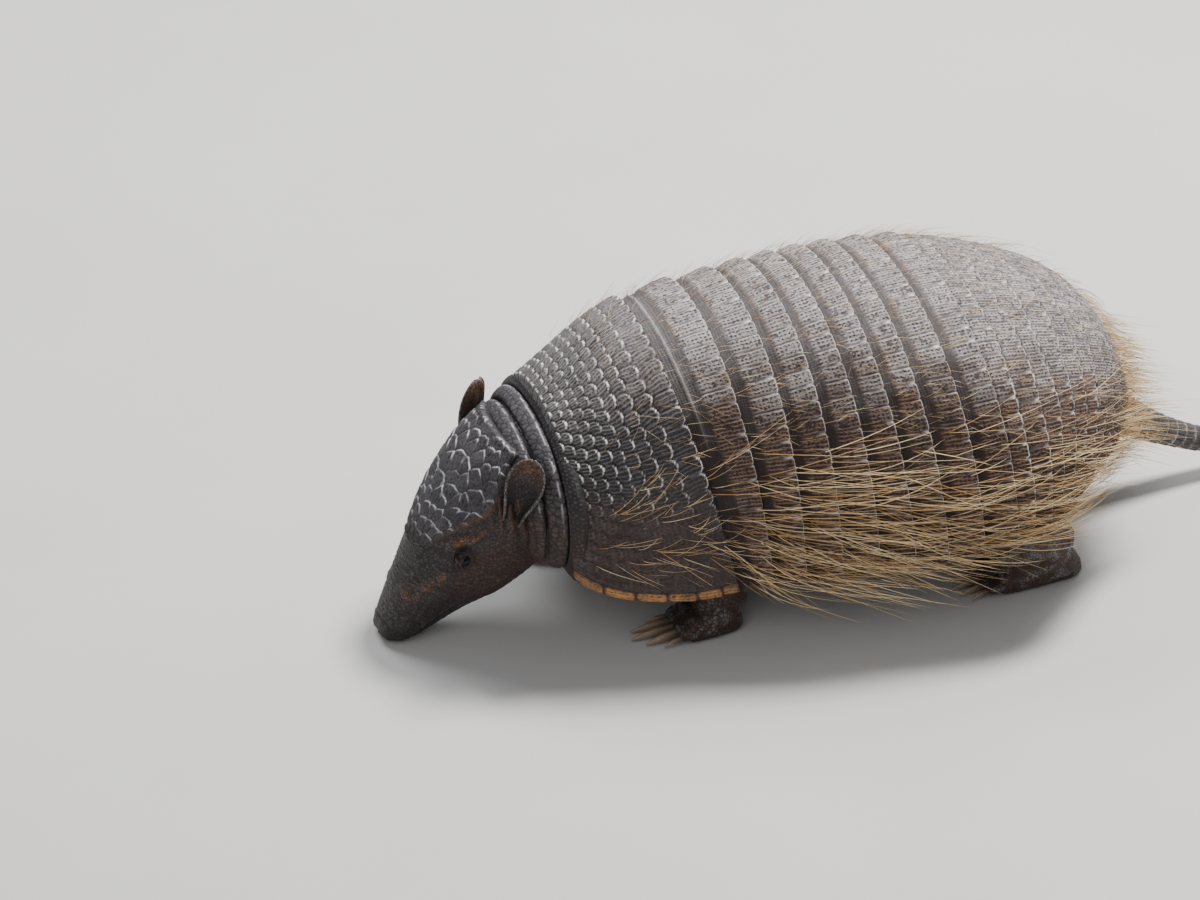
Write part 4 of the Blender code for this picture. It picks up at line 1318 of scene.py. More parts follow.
@dataclass
class HeadArmour:
    """The cap of irregular scutes on the head, with small scutes along its rear edge."""

    # distance from the occiput, and the angle of the cap's lower edge there
    limits: tuple[Pair, ...] = (
        (0.0012, 0.70), (0.0115, 0.60), (0.0200, 0.50), (0.0290, 0.46), (0.0380, 0.60), (0.0480, 0.78),
        (0.0580, 0.93), (0.0680, 1.10))
    stand_off: float = 1.0 * MM
    thick: float = 1.6 * MM
    rows: int = 150
    columns: int = 156
    layout: ScuteRows = ScuteRows(
        (13, 9, 9, 8, 8, 9, 9, 9, 8, 7, 6), (3.8, 5.4, 6.2, 6.6, 6.4, 6.4, 6.0, 5.6, 5.4, 5.4, 5.8),
        Pattern.POLYGONS, jitter=0.38, soften=0.14 * MM, seed=21)
    profile: ScuteProfile = ScuteProfile(
        dome_mm=0.58, edge_mm=0.42, tilt_mm=0.34, rim_start_mm=0.02, rim_width_mm=0.50, rim_strength=1.1)

    def build(self) -> MeshData:
        """The cap as a closed plate over the head's own surface, thinner towards the nose.

        The outer sheet is the head's surface moved along its normal by the scutes' height,
        which fades to under the skin along the free edges.
        """
        knots, lows = zip(*self.limits)
        distance = np.linspace(0, knots[-1], self.rows)[:, None]
        low = smooth(knots, lows, np.clip(distance, knots[0], knots[-1]))
        share = np.linspace(-0.5, 0.5, self.columns)[None, :]
        surface = HEAD.surface(distance, low + (share + 0.5) * (pi - 2 * low))
        normal = upward_normals(surface)
        girth = girth_of(surface)
        along = distance - distance[0]
        laid = self.layout.lay(share, self.layout.row_at(along / along.max()), girth)
        laid.rearward = -laid.rearward
        masks = self.profile.raise_plates(laid, share * girth, along, 23)
        rough = speckle(29, 1.1, share * girth, along) - 0.5
        ahead, to_edge = along.max() - along, (0.5 - np.abs(share)) * girth
        edge = np.minimum(to_edge, np.minimum(along, ahead))
        rear = np.where(along < 4 * MM, 1.0, 0.0)
        fade = np.maximum(step(0.0, 3.4 * MM, edge), rear * step(0.0, 1.2 * MM, edge))
        height = (masks["height"] + 0.24 * MM * rough) * (0.25 + 0.75 * fade) - 1.5 * MM * (1 - fade)
        # The rims, partly wear and partly painted highlights, show mostly high on the cap, away from its edges.
        high = step(1.0 * MM, 5 * MM, to_edge) * step(3 * MM, 19 * MM, ahead)
        values = plate_values(masks, rim=masks["rim"] * (0.10 + 0.90 * high) * fade, fore=0.25 + 0.75 * high,
                              rust=0.8 * (1 - high) * bump(distance, 0.037, 0.010))
        stand = self.stand_off * (1 - 0.75 * step(0.040, 0.064, distance))
        return shell(surface + (stand + height)[..., None] * normal, surface - self.thick * normal, values)


@dataclass
class NuchalArmour:
    """A narrow band of small scutes over the neck, rolled in section, with a painted highlight along its rear
    edge.
    """

    number: int
    start: float
    end: float
    count: int = 84
    layers: int = 2
    worn: float = 1.0
    rows: int = 26
    columns: int = 460
    reach: float = 0.62
    thick: float = 3.0 * MM
    profile: ScuteProfile = ScuteProfile(
        dome_mm=0.15, edge_mm=0.40, tilt_mm=0.12, rim_start_mm=0.02, rim_width_mm=0.36, rim_strength=0.8)

    def build(self) -> MeshData:
        """The band as a closed plate over the neck's own surface.

        The outer sheet is moved along the normal by the scutes' height, plus a roll that is
        the power 0.6 of half a sine wave from front to rear.
        """
        t = np.linspace(0, 1, self.rows)[:, None]
        angle = np.linspace(-self.reach, pi + self.reach, self.columns)[None, :]
        share = np.linspace(-0.5, 0.5, self.columns)[None, :]
        surface = NECK.surface(self.start + t * (self.end - self.start), angle)
        normal = upward_normals(surface)
        middle = self.columns // 2
        length = float(np.linalg.norm(surface[-1, middle] - surface[0, middle]))
        girth = girth_of(surface)
        layout = ScuteRows((self.count,) * self.layers, (length / MM / self.layers,) * self.layers,
                           Pattern.POLYGONS, jitter=0.34, seed=30 + self.number)
        laid = layout.lay(share, layout.row_at(t), girth)
        masks = self.profile.raise_plates(laid, share * girth, t * length, 35 + self.number)
        # high is the roll's upper part, where the rims and a painted highlight along the rear edge show.
        high = step(-0.15, 0.55, np.sin(angle))
        ragged = step(0.36, 0.72, lattice_noise(45 + self.number, share * girth / (2.6 * MM), t * 1.5))
        rim = masks["rim"] * (0.08 + 0.92 * high) * 0.55 * step(0.3, 0.8, t)
        values = plate_values(masks, rim=self.worn * (rim + 0.62 * bump(t, 0.84, 0.036) * ragged * high),
                              fore=0.2 + 0.8 * high, rust=0.22 * (1 - high))
        roll = 1.25 * MM * np.sin(pi * np.clip(t, 0.0, 1.0)) ** 0.6 - 0.85 * MM
        ends = 1.6 * MM * (1 - step(0, 5 * MM, (0.5 - np.abs(share)) * girth))
        outer = surface + (masks["height"] + roll - ends)[..., None] * normal
        return shell(outer, surface - self.thick * normal, values)


@dataclass
class Armour:
    """All the bony armour of the animal."""

    body: PlateFinish = PlateFinish(
        "body_scutes", back=(0.330, 0.300, 0.298, 1), flank=(0.108, 0.053, 0.031, 1),
        fore=(0.040, 0.037, 0.041, 1), groove=(0.016, 0.011, 0.011, 1), rim=(0.84, 0.80, 0.79, 1),
        soft=(0.225, 0.208, 0.210, 1), rust=(0.42, 0.19, 0.055, 1))
    head: PlateFinish = PlateFinish(
        "head_scutes", back=(0.060, 0.056, 0.062, 1), flank=(0.034, 0.025, 0.023, 1),
        fore=(0.060, 0.056, 0.062, 1), groove=(0.014, 0.011, 0.011, 1), rim=(0.66, 0.64, 0.67, 1),
        soft=(0.10, 0.08, 0.08, 1), rust=(0.16, 0.070, 0.026, 1))

    def shoulder(self) -> ShieldArmour:
        """The shoulder shield, of fish-scale rows that grow longer to the rear."""
        rows = ScuteRows((33, 34, 35, 36, 37, 38, 38, 38, 38, 38),
                         (5.0, 5.2, 5.4, 5.6, 5.8, 6.0, 6.4, 7.6, 9.2, 12.1),
                         Pattern.BRICKS, jitter=0.30, soften=0.45 * MM, scallop_mm=2.1, seed=5)
        profile = ScuteProfile(dome_mm=0.62, edge_mm=0.40, tilt_mm=0.62, pit_mm=0.22, rim_start_mm=0.04,
                               rim_width_mm=0.60, rim_strength=1.5)
        return ShieldArmour(0.0, TRUNK.shoulder_end - 0.010, rows, profile, lift=1.2 * MM, fore=1.0,
                            spacing=0.60 * MM, dip=2.4 * MM, seed=12)

    def hips(self) -> ShieldArmour:
        """The hip shield, of rows that grow shorter to the tail."""
        rows = ScuteRows((42, 42, 42, 41, 41, 40, 39, 37, 35, 33, 31, 29, 27, 25, 22, 18),
                         (11.6, 11.0, 10.4, 9.6, 9.0, 8.4, 7.8, 7.2, 6.8, 6.4, 6.2, 6.0, 5.8, 5.6, 5.4, 5.4),
                         Pattern.BRICKS, jitter=0.25, scallop_mm=0.6, seed=6)
        profile = ScuteProfile(dome_mm=0.62, edge_mm=0.34, tilt_mm=0.66, ridge_mm=0.12, pit_mm=0.24,
                               rim_start_mm=0.10, rim_width_mm=0.50, rim_strength=1.3, gap_mm=0.85)
        return ShieldArmour(TRUNK.band_ends[-1] - 0.022, TRUNK.hip_end, rows, profile, lift=0.0, fore=0.0,
                            spacing=0.655 * MM, dip=1.5 * MM, seed=13)

    def build(self, effects: Effects) -> Material:
        """Put the shields and the bands in place; returns the trunk's finish for the tail.

        Args:
            effects: The shared shader groups.
        Returns:
            The trunk's finish.
        """
        body, head = self.body.build(effects), self.head.build(effects)
        place("scapular_scutes", self.shoulder().build(), body, "armour", ("scapular_shield",))
        starts = (TRUNK.shoulder_end, *TRUNK.band_ends[:-1])
        for number, (start, end) in enumerate(zip(starts, TRUNK.band_ends), 1):
            # The first band shows more of its soft strip, with a pale crease across it.
            extra = {"soft_share": 0.40, "soft_tone": 0.80, "crease": 1.0} if number == 1 else {}
            place(f"band_scutes_{number}", BandArmour(number, start, end, **extra).build(), body, "armour",
                  (f"band_{number}",))
        place("pelvic_scutes", self.hips().build(), body, "armour", ("pelvic_shield",))
        place("head_scutes", HeadArmour().build(), head, "armour", ("head_shield",))
        for number, (first, last) in enumerate(((0.06, 0.46), (0.54, 0.95)), 1):
            place(f"nuchal_scutes_{number}", NuchalArmour(number, first, last).build(), head, "armour",
                  (f"nuchal_band_{number}",))
        # The collar fold keeps little of the rims and of the painted highlight along its rear edge.
        collar = NuchalArmour(3, 0.98, 1.32, count=96, layers=4, worn=0.12)
        place("collar_fold", collar.build(), head, "armour")
        return body


# ---------------------------------------------------------------- skin
def full_turn(count: int) -> Array:
    """Equal steps of angle, all the way round."""
    return np.linspace(0, 2 * pi, count, endpoint=False)


def ring_tube(path: Array, radii: Array, columns: int, flatten: float = 1.0,
              lift: Triple = (0.0, 1.0, 0.0)) -> MeshData:
    """A closed tube along a path, with its rings square to the path.

    Args:
        path: Centres of the rings.
        radii: One radius per ring.
        columns: Points per ring.
        flatten: Scale of the rings' second axis.
        lift: Direction of the rings' first axis.
    Returns:
        The tube.
    """
    heading = unit(np.gradient(path, axis=0))
    first = unit(np.array(lift) - (heading @ np.array(lift))[:, None] * heading)
    second = np.cross(heading, first)
    turn = full_turn(columns)[None, :, None]
    return tube(path[:, None] + radii[:, None, None] * (
        np.cos(turn) * first[:, None] + flatten * np.sin(turn) * second[:, None]))


def melt(parts: list[MeshData], voxel: float, relax: int) -> MeshData:
    """Join closed parts into one skin by voxel remeshing and even it out.

    Args:
        parts: The closed meshes.
        voxel: Size of the voxels.
        relax: Rounds of smoothing.
    Returns:
        The skin, of quads.
    """
    data = join(parts)
    mesh = bpy.data.meshes.new("melt")
    faces = np.split(data.corners, np.cumsum(data.sizes)[:-1])
    mesh.from_pydata(data.points.tolist(), [], [face.tolist() for face in faces])
    holder = add_object("melt", mesh)
    remesh = holder.modifiers.new("remesh", "REMESH")
    remesh.mode, remesh.voxel_size = "VOXEL", voxel
    relaxing = holder.modifiers.new("relax", "SMOOTH")
    relaxing.factor, relaxing.iterations = 0.5, relax
    made = holder.evaluated_get(bpy.context.evaluated_depsgraph_get()).to_mesh()
    arrays = []
    for items, key, width, kind in ((made.vertices, "co", 3, np.float32),
                                    (made.loops, "vertex_index", 1, np.int32),
                                    (made.polygons, "loop_total", 1, np.int32)):
        arrays.append(np.empty(len(items) * width, kind))
        items.foreach_get(key, arrays[-1])
    bpy.data.objects.remove(holder)
    bpy.data.meshes.remove(mesh)
    points, corners, sizes = arrays
    return MeshData(points.reshape(-1, 3).astype(float), corners, sizes).facing_out()


def flesh_ring(station: float, turn: Array, inset: float, belly_z: float = 0.0250) -> Array:
    """One ring of the trunk under its armour: inset above, a shallow belly below.

    Args:
        station: Place along the body.
        turn: Angles all the way round.
        inset: How far the ring lies under the armour.
        belly_z: Height of the belly's lowest line.
    Returns:
        The ring's points.
    """
    upper = np.clip(turn, 0.02, pi - 0.02)
    ring = TRUNK.surface(station, upper) - inset * TRUNK.normal(station, upper)
    along = power(np.sin(turn), TRUNK.exponent)
    base_z = float(smooth(range(len(TRUNK.stations)), [row[3] for row in TRUNK.stations], station))
    belly = belly_z + (base_z - belly_z) * (station / TRUNK.last) ** 4 + inset
    below = along < -1e-6
    ring[below, 0] = ring[0, 0]
    ring[below, 1] = (ring[0, 1] * power(np.cos(turn), TRUNK.exponent))[below]
    ring[below, 2] = (base_z + along * (base_z - belly))[below]
    return ring


@dataclass
class SkinDetail:
    """Points of the head and neck skin, and what its details add up to there.

    d, b and h are distance, side and height in the head's own frame, the side without its sign. Height, rust,
    crease and pale start at 0 and grow with each detail. Crease is mostly painted shade in creases, holes and
    round the eyes.
    """

    d: Array
    b: Array
    h: Array
    x: Array
    z: Array
    noise: Array
    fine: Array
    lumps: Array
    height: Values = 0.0
    rust: Values = 0.0
    crease: Values = 0.0
    pale: Values = 0.0

    @classmethod
    def of(cls, points: Array) -> "SkinDetail":
        """The bare skin at the points, with three sizes of noise over it.

        Args:
            points: World points of (points, 3).
        Returns:
            The skin there.
        """
        d, side, h = HEAD.own_place(points)
        x, z = points[:, 0] + TRUNK.origin_x, points[:, 2]
        noise, fine, lumps = (speckle(seed, size_mm, x, side, z)
                              for seed, size_mm in ((101, 5), (102, 1.7), (103, 2.6)))
        return cls(d, np.abs(side), h, x, z, noise, fine, step(0.25, 0.70, lumps))

    @property
    def on_head(self) -> Array:
        """1 on the face, 0 on the neck."""
        return step(0.030, 0.045, self.d)

    @property
    def by_eye(self) -> Array:
        """1 on the sides of the face, where the eyes are."""
        return (self.b > 0.012) * self.on_head

    @property
    def nose(self) -> Array:
        """1 on the nose pad."""
        return step(0.1040, 0.1072, self.d)

    def between(self, ends: tuple[Pair, ...]) -> tuple[Array, Array]:
        """Height above the line between two ends, and a mask that is 1 between them.

        Args:
            ends: Distance and height of the front end, then of the rear one.
        Returns:
            The height and the mask.
        """
        (d1, h1), (d0, h0) = ends
        t = (self.d - d0) / (d1 - d0)
        return self.h - h0 - t * (h1 - h0), step(-0.06, 0.12, t) * (1 - step(0.90, 1.06, t))

    def add(self, height_mm: Values = 0.0, rust: Values = 0.0, crease: Values = 0.0,
            pale: Values = 0.0) -> None:
        """Add one detail.

        Args:
            height_mm: What it adds to the height, in millimetres.
            rust: What it adds to the rusty colour.
            crease: What it adds to the dark of the creases, painted shade.
            pale: What it adds to the pale colour.
        """
        self.height = self.height + height_mm * MM
        self.rust, self.crease, self.pale = self.rust + rust, self.crease + crease, self.pale + pale


@dataclass
class HeadSkin:
    """Skin of the head, neck and chest: brow, lids, mouth, nostrils, cheeks and neck folds."""

    voxel: float = 0.84 * MM
    chest: Pair = (0.10, 0.24)
    chest_inset: float = 4.6 * MM
    eye_at: Triple = (0.0547, 0.0226, -0.0126)
    eye_radius: float = 4.0 * MM
    eye_lean: float = radians(-14)
    opening: Pair = (3.0 * MM, 1.85 * MM)
    # side and height of the left nostril
    nostril_at: Pair = (0.0042, -0.0138)
    # distance and height of the two ends of the brow, and of the fold over the lip
    brow: tuple[Pair, ...] = ((0.0535, -0.0040), (0.0270, -0.0158))
    whisker_fold: tuple[Pair, ...] = ((0.0890, -0.0064), (0.0650, -0.0122))

    def parts(self) -> list[MeshData]:
        """Closed forms of the head, the neck and the front of the trunk."""
        turn = full_turn(120)[None, :]
        run = np.concatenate([np.linspace(0.0, HEAD.length, 80), HEAD.length + np.array([0.6, 1.0, 1.3]) * MM])
        shrink = np.concatenate([np.ones(80), [0.93, 0.75, 0.40]])
        head = HEAD.surface(np.minimum(run, HEAD.length)[:, None], turn, shrink[:, None])
        ahead = HEAD.point(1.0, 0.0, 0.0) - HEAD.point(0.0, 0.0, 0.0)
        head = head + np.maximum(run - HEAD.length, 0)[:, None, None] * ahead
        share = np.linspace(-0.5, 1.2, 12)[:, None]
        neck = NECK.surface(np.clip(share, 0, 1), turn, -2.6 * MM - 2.5 * MM * (share < 0))
        neck[..., 0] += np.where(share < 0, 0.015 * share, np.where(share > 1, 0.015 * (share - 1), 0.0))
        chest = np.stack([flesh_ring(s, turn[0], self.chest_inset) for s in np.linspace(*self.chest, 3)])
        return [tube(head), tube(neck), tube(chest)]

    def add_eyes(self, skin: SkinDetail) -> None:
        """Lids and sockets: rolls, hollows and fine rings round a leaning ellipse.

        Args:
            skin: The skin's points, added to in place.
        """
        off_d, off_h = skin.d - self.eye_at[0], skin.h - self.eye_at[2]
        u = off_d * cos(self.eye_lean) + off_h * sin(self.eye_lean)
        v = -off_d * sin(self.eye_lean) + off_h * cos(self.eye_lean)
        near = skin.by_eye
        around = np.hypot(u / self.opening[0], v / self.opening[1])
        wide = np.hypot(u, v * 1.25)
        socket = np.hypot(u / (7.2 * MM), v / (4.0 * MM))
        above = step(-0.8 * MM, 2.0 * MM, v) * near
        arc = bump(socket, 1.0, 0.11) * above
        ring_share = step(3.6 * MM, 4.6 * MM, wide) * (1 - step(7 * MM, 12 * MM, wide)) * near
        # The crease values round the eye are painted shade: along the lid line, over the socket round the eye,
        # and an arc of painted shadow under the brow.
        skin.add(1.15 * bump(around, 1.45, 0.50) * near, crease=0.5 * bump(around, 1.0, 0.25) * near)
        skin.add(-3.2 * (1 - step(0.75, 1.15, around)) * near)
        skin.add(0.20 * np.cos(2 * pi * (wide / (1.45 * MM)) + 2.5 * skin.noise) * ring_share)
        skin.add(-0.8 * bump(wide, 6.2 * MM, 2.2 * MM) * near,
                 rust=0.12 * bump(wide, 5.0 * MM, 1.5 * MM) * near,
                 crease=0.85 * bump(wide, 2.4 * MM, 3.6 * MM) * near)
        skin.add(0.40 * bump(socket, 0.74, 0.16) * above - 0.7 * arc, crease=0.8 * arc)

    def add_brows(self, skin: SkinDetail) -> None:
        """The brow, its furrow and the pads over the lip: bell curves across their lines.

        Args:
            skin: The skin's points, added to in place.
        """
        over, within = skin.between(self.brow)
        over = over + 2.6 * MM * (skin.noise - 0.5)
        within = within * skin.by_eye
        brow = bump(over, 0.4 * MM, 1.8 * MM) * within * (0.30 + 0.70 * skin.lumps)
        # under is the furrow below the brow, darkened as painted shadow.
        under = bump(over, -3.1 * MM, 1.6 * MM) * within
        skin.add(1.5 * brow - 0.5 * under, rust=0.95 * brow, crease=0.5 * under)
        over, within = skin.between(self.whisker_fold)
        over = over + 3.0 * MM * (skin.noise - 0.5)
        # The pads' orange is painted light where it grazes the fold, laid in the rust colour.
        pads = bump(over, 0.0, 2.3 * MM) * within * (skin.b > 0.005) * skin.lumps ** 2
        skin.add(0.7 * pads, rust=0.70 * pads)

    def add_mouth(self, skin: SkinDetail) -> None:
        """The mouth as a groove along a bent line, with the lip over it and a fold at its corner.

        Args:
            skin: The skin's points, added to in place.
        """
        (d0, h0), (d1, h1) = HEAD.mouth
        t = np.clip((skin.d - d0) / (d1 - d0), -0.25, 1.1)
        sag = 1.2 * MM * np.sin(pi * np.clip(t, 0, 1)) - 1.8 * MM * (1 - step(-0.2, 0.15, t))
        off = skin.h - (h0 + t * (h1 - h0) + sag)
        within = step(d0 - 4 * MM, d0, skin.d) * (1 - step(d1 + 1 * MM, d1 + 3.5 * MM, skin.d))
        mouth = bump(off, 0.0, 0.75 * MM) * within
        lip = bump(off, 1.9 * MM, 1.3 * MM) * within
        corner = np.hypot(skin.d - (d0 - 2 * MM), off * 1.2)
        # The mouth's slit is darkened as painted shade.
        skin.add(0.45 * lip - 1.25 * mouth, rust=0.12 * lip, crease=0.95 * mouth)
        skin.add(0.7 * bump(corner, 4.2 * MM, 1.5 * MM) * (skin.b > 0.008) * skin.on_head)

    def add_nose(self, skin: SkinDetail) -> None:
        """Round nostrils with bell-shaped wings, and the crease behind the nose pad.

        Args:
            skin: The skin's points, added to in place.
        """
        nostril = np.hypot(skin.b - self.nostril_at[0], (skin.h - self.nostril_at[1]) / 1.15)
        hole = (1 - step(1.0 * MM, 2.0 * MM, nostril)) * step(0.1068, 0.1086, skin.d)
        wing = bump(nostril, 2.7 * MM, 0.9 * MM) * skin.nose
        # The nostrils are darkened as painted shade in the holes, and the nose pad is darker all over.
        skin.add(0.45 * wing - 2.2 * hole, crease=hole + 0.35 * skin.nose, pale=0.14 * wing)
        skin.add(-0.55 * bump(skin.d, 0.1036, 0.8 * MM) * step(-0.018, -0.010, skin.h))

    def add_face(self, skin: SkinDetail) -> None:
        """Cosine rings across the snout, cosine folds down the cheek, and a grain over both.

        Args:
            skin: The skin's points, added to in place.
        """
        snout = step(0.066, 0.078, skin.d) * (1 - skin.nose)
        cross = np.cos(2 * pi * skin.d / (2.3 * MM) + 5 * skin.noise + 60 * skin.b)
        cheek = skin.on_head * (1 - step(-0.020, -0.012, skin.h)) * (1 - snout)
        folds = np.cos(2 * pi * (skin.d * 0.92 - skin.h * 0.45) / (3.1 * MM) + 7 * skin.noise)
        # The troughs of the cheek's folds are darkened as painted shade; the snout is a little darker all over.
        skin.add(0.13 * cross * snout, crease=0.20 * snout, pale=0.10 * snout * step(0.4, 1.0, cross))
        skin.add(0.30 * folds * cheek, rust=0.16 * cheek, crease=cheek * 0.30 * step(0.4, 1.0, -folds))
        skin.add(0.16 * (skin.fine - 0.5) * skin.on_head,
                 pale=0.11 * step(0.45, 0.80, skin.fine) * skin.on_head * (1 - 0.8 * cheek))

    def add_neck(self, skin: SkinDetail) -> None:
        """Deep cosine folds and finer pleats round the throat and the chest, bent by noise.

        Args:
            skin: The skin's points, added to in place.
        """
        behind = (1 - step(0.024, 0.040, skin.d)) * (1 - step(0.010, 0.016, skin.x)) * (
            1 - step(0.080, 0.094, skin.z))
        curve = skin.x + 0.10 * skin.z + 0.35 * skin.b
        ribs = np.cos(2 * pi * curve / (4.7 * MM) + 2.2 * skin.noise)
        pleats = np.cos(2 * pi * curve / (1.25 * MM) + 6 * skin.noise)
        # The troughs of the ribs are darkened as painted shade.
        skin.add((0.85 * ribs + 0.14 * pleats + 0.25 * (skin.fine - 0.5)) * behind,
                 rust=behind * (0.20 + 0.16 * ribs) * (1 - 0.7 * skin.on_head),
                 crease=behind * 0.45 * step(0.3, 1.0, -ribs))

    def build(self) -> MeshData:
        """The skin with its relief and the values rust, crease and pale."""
        data = melt(self.parts(), self.voxel, 5)
        skin = SkinDetail.of(data.points)
        for add_detail in (self.add_eyes, self.add_brows, self.add_mouth, self.add_nose, self.add_face,
                           self.add_neck):
            add_detail(skin)
        data.points += skin.height[:, None] * data.normals()
        data.points[:, 2] = np.maximum(data.points[:, 2], 0.0)
        data.values = {name: np.clip(getattr(skin, name), 0, 1) for name in ("rust", "crease", "pale")}
        return data

    def lids(self, side: Side) -> MeshData:
        """A thin almond roll that closes the skin round one eye.

        The roll's centre line is an ellipse on the ball, pointed at both corners.

        Args:
            side: Which eye.
        Returns:
            The roll.
        """
        turn, ring = full_turn(72)[:, None], full_turn(12)[None, :]
        u = 1.12 * self.opening[0] * np.cos(turn)
        v = 1.12 * self.opening[1] * np.sin(turn) * (1 - 0.22 * np.cos(turn) ** 2)
        thick = (0.42 + 0.25 * np.clip(np.sin(turn), 0, 1)) * MM
        reach = np.hypot(u, v)
        out = np.sqrt(self.eye_radius ** 2 - reach ** 2) + 0.05 * MM
        grow = 1 + thick * np.cos(ring) / np.maximum(reach, 1e-6)
        u, v = u * grow, v * grow
        depth = out + thick * np.sin(ring) - 0.3 * thick * np.cos(ring)
        d = self.eye_at[0] + u * cos(self.eye_lean) - v * sin(self.eye_lean)
        h = self.eye_at[2] + u * sin(self.eye_lean) + v * cos(self.eye_lean)
        points = HEAD.point(d, side.value * (self.eye_at[1] + depth), h)
        # The lids are dark with painted shade, darkest on their inner side.
        return loop_tube(points, {"rust": 0.10, "crease": 0.50 + 0.4 * (np.cos(ring) < -0.3), "pale": 0.0})

    def eye(self, side: Side) -> MeshData:
        """One eyeball, a little bulged in the middle, with the value iris.

        Args:
            side: Which eye.
        Returns:
            The ball.
        """
        polar, turn = np.linspace(0.03, pi - 0.03, 40)[:, None], full_turn(64)[None, :]
        radius = self.eye_radius * (1 + 0.05 * bump(polar, 0.0, 0.55))
        d = self.eye_at[0] + radius * np.sin(polar) * np.cos(turn)
        h = self.eye_at[2] + radius * np.sin(polar) * np.sin(turn)
        points = HEAD.point(d, side.value * (self.eye_at[1] + radius * np.cos(polar)), h)
        return tube(points, {"iris": polar})


@dataclass
class Limb:
    """One leg with its foot and toes, and the claws of its five digits."""

    region: str
    side: Side
    foot_at: Pair
    foot: Triple
    joints: tuple[Triple, ...]
    radii: tuple[float, ...]
    claws: tuple[float, ...]
    claw_thick: float = 5.2 * MM
    claw_bend: float = 0.9
    full_claw: float = 0.016
    toe_share: float = 0.34

    @property
    def front(self) -> float:
        """The foot's foremost x."""
        return self.foot_at[0] - TRUNK.origin_x - self.foot[0] / 2

    def foot_rings(self) -> Array:
        """Rings of the foot from heel to toes: superellipses cut flat underneath."""
        length, width, height = self.foot
        turn = full_turn(40)[None, :]
        knots = (0.0, 0.10, 0.35, 0.65, 0.90, 1.0)
        share = np.linspace(0, 1 - 0.5 * self.toe_share, 24)[:, None]
        wide = smooth(knots, (0.45, 0.72, 0.92, 1.0, 0.98, 0.90), share)
        tall = smooth(knots, (0.50, 0.80, 1.00, 0.86, 0.66, 0.52), share)
        side = width * wide / 2 * power(np.cos(turn), 0.85)
        rise = height * tall * np.clip(0.5 + 0.62 * power(np.sin(turn), 0.85), 0, 1)
        x = self.foot_at[0] - TRUNK.origin_x - length * (share - 0.5)
        return np.stack(np.broadcast_arrays(x, self.side.value * self.foot_at[1] - side, rise), axis=-1)

    def digit(self, number: int) -> Triple:
        """Y of one digit, its slant outwards, and how far its toe reaches ahead.

        Args:
            number: The digit, from 0 on the inner side.
        Returns:
            The three.
        """
        share = number / (len(self.claws) - 1) - 0.5
        y = self.side.value * (self.foot_at[1] + share * self.foot[1] * 0.78)
        return y, self.side.value * share * 0.28, 1.0 - 0.9 * share * share

    def parts(self) -> list[MeshData]:
        """Closed forms of the leg, the foot and the toes."""
        knots = range(len(self.joints))
        steps = np.linspace(0, len(self.joints) - 1, 24)
        path = smooth(knots, self.joints, steps) * (1, self.side.value, 1) - (TRUNK.origin_x, 0, 0)
        length, width, height = self.foot
        made = [ring_tube(path, smooth(knots, self.radii, steps), 30, 1.15), tube(self.foot_rings())]
        t = np.linspace(0, 1, 12)
        start = self.front + length * self.toe_share
        z = height * (0.36 - 0.06 * t) + 1.3 * MM * np.sin(pi * t)
        thick = width * 0.118 * np.sqrt(np.clip(1 - (2 * t - 1) ** 4 * 0.75, 0, 1)) + 0.2 * MM
        for number in range(len(self.claws)):
            y, slant, reach = self.digit(number)
            x = start + (self.front - 0.8 * MM - start) * t * reach ** 0.3
            path = np.stack([x, y + slant * 0.2 * length * (t - 0.5), z], axis=-1)
            made.append(ring_tube(path, thick, 18, 1.05))
        return made

    def claw_set(self) -> MeshData:
        """All the claws of the foot: flattened horns along an arc, that thin to a blunt tip."""
        made = []
        share = np.linspace(-0.08, 1, 30)
        bend = self.claw_bend * share
        root_z, tip_z = self.foot[2] * 0.27, 2.0 * MM
        z = root_z - (root_z - tip_z) * (1 - np.cos(bend)) / (1 - cos(self.claw_bend))
        for number, reach in enumerate(self.claws):
            y, slant, _ = self.digit(number)
            x = self.front + 0.5 * MM - reach * np.sin(bend) / self.claw_bend * 1.05
            path = np.stack([x, y + slant * share * reach, z], axis=-1)
            size = min(1.0, reach / self.full_claw)
            thick = self.claw_thick / 2 * (1 - 0.80 * np.clip(share, 0, 1) ** 1.5) * size
            horn = ring_tube(path, thick, 20, 0.72, (0.0, 0.0, 1.0))
            horn.values = {"along": np.repeat(np.clip(share, 0, 1), 20)}
            made.append(horn)
        return join(made)


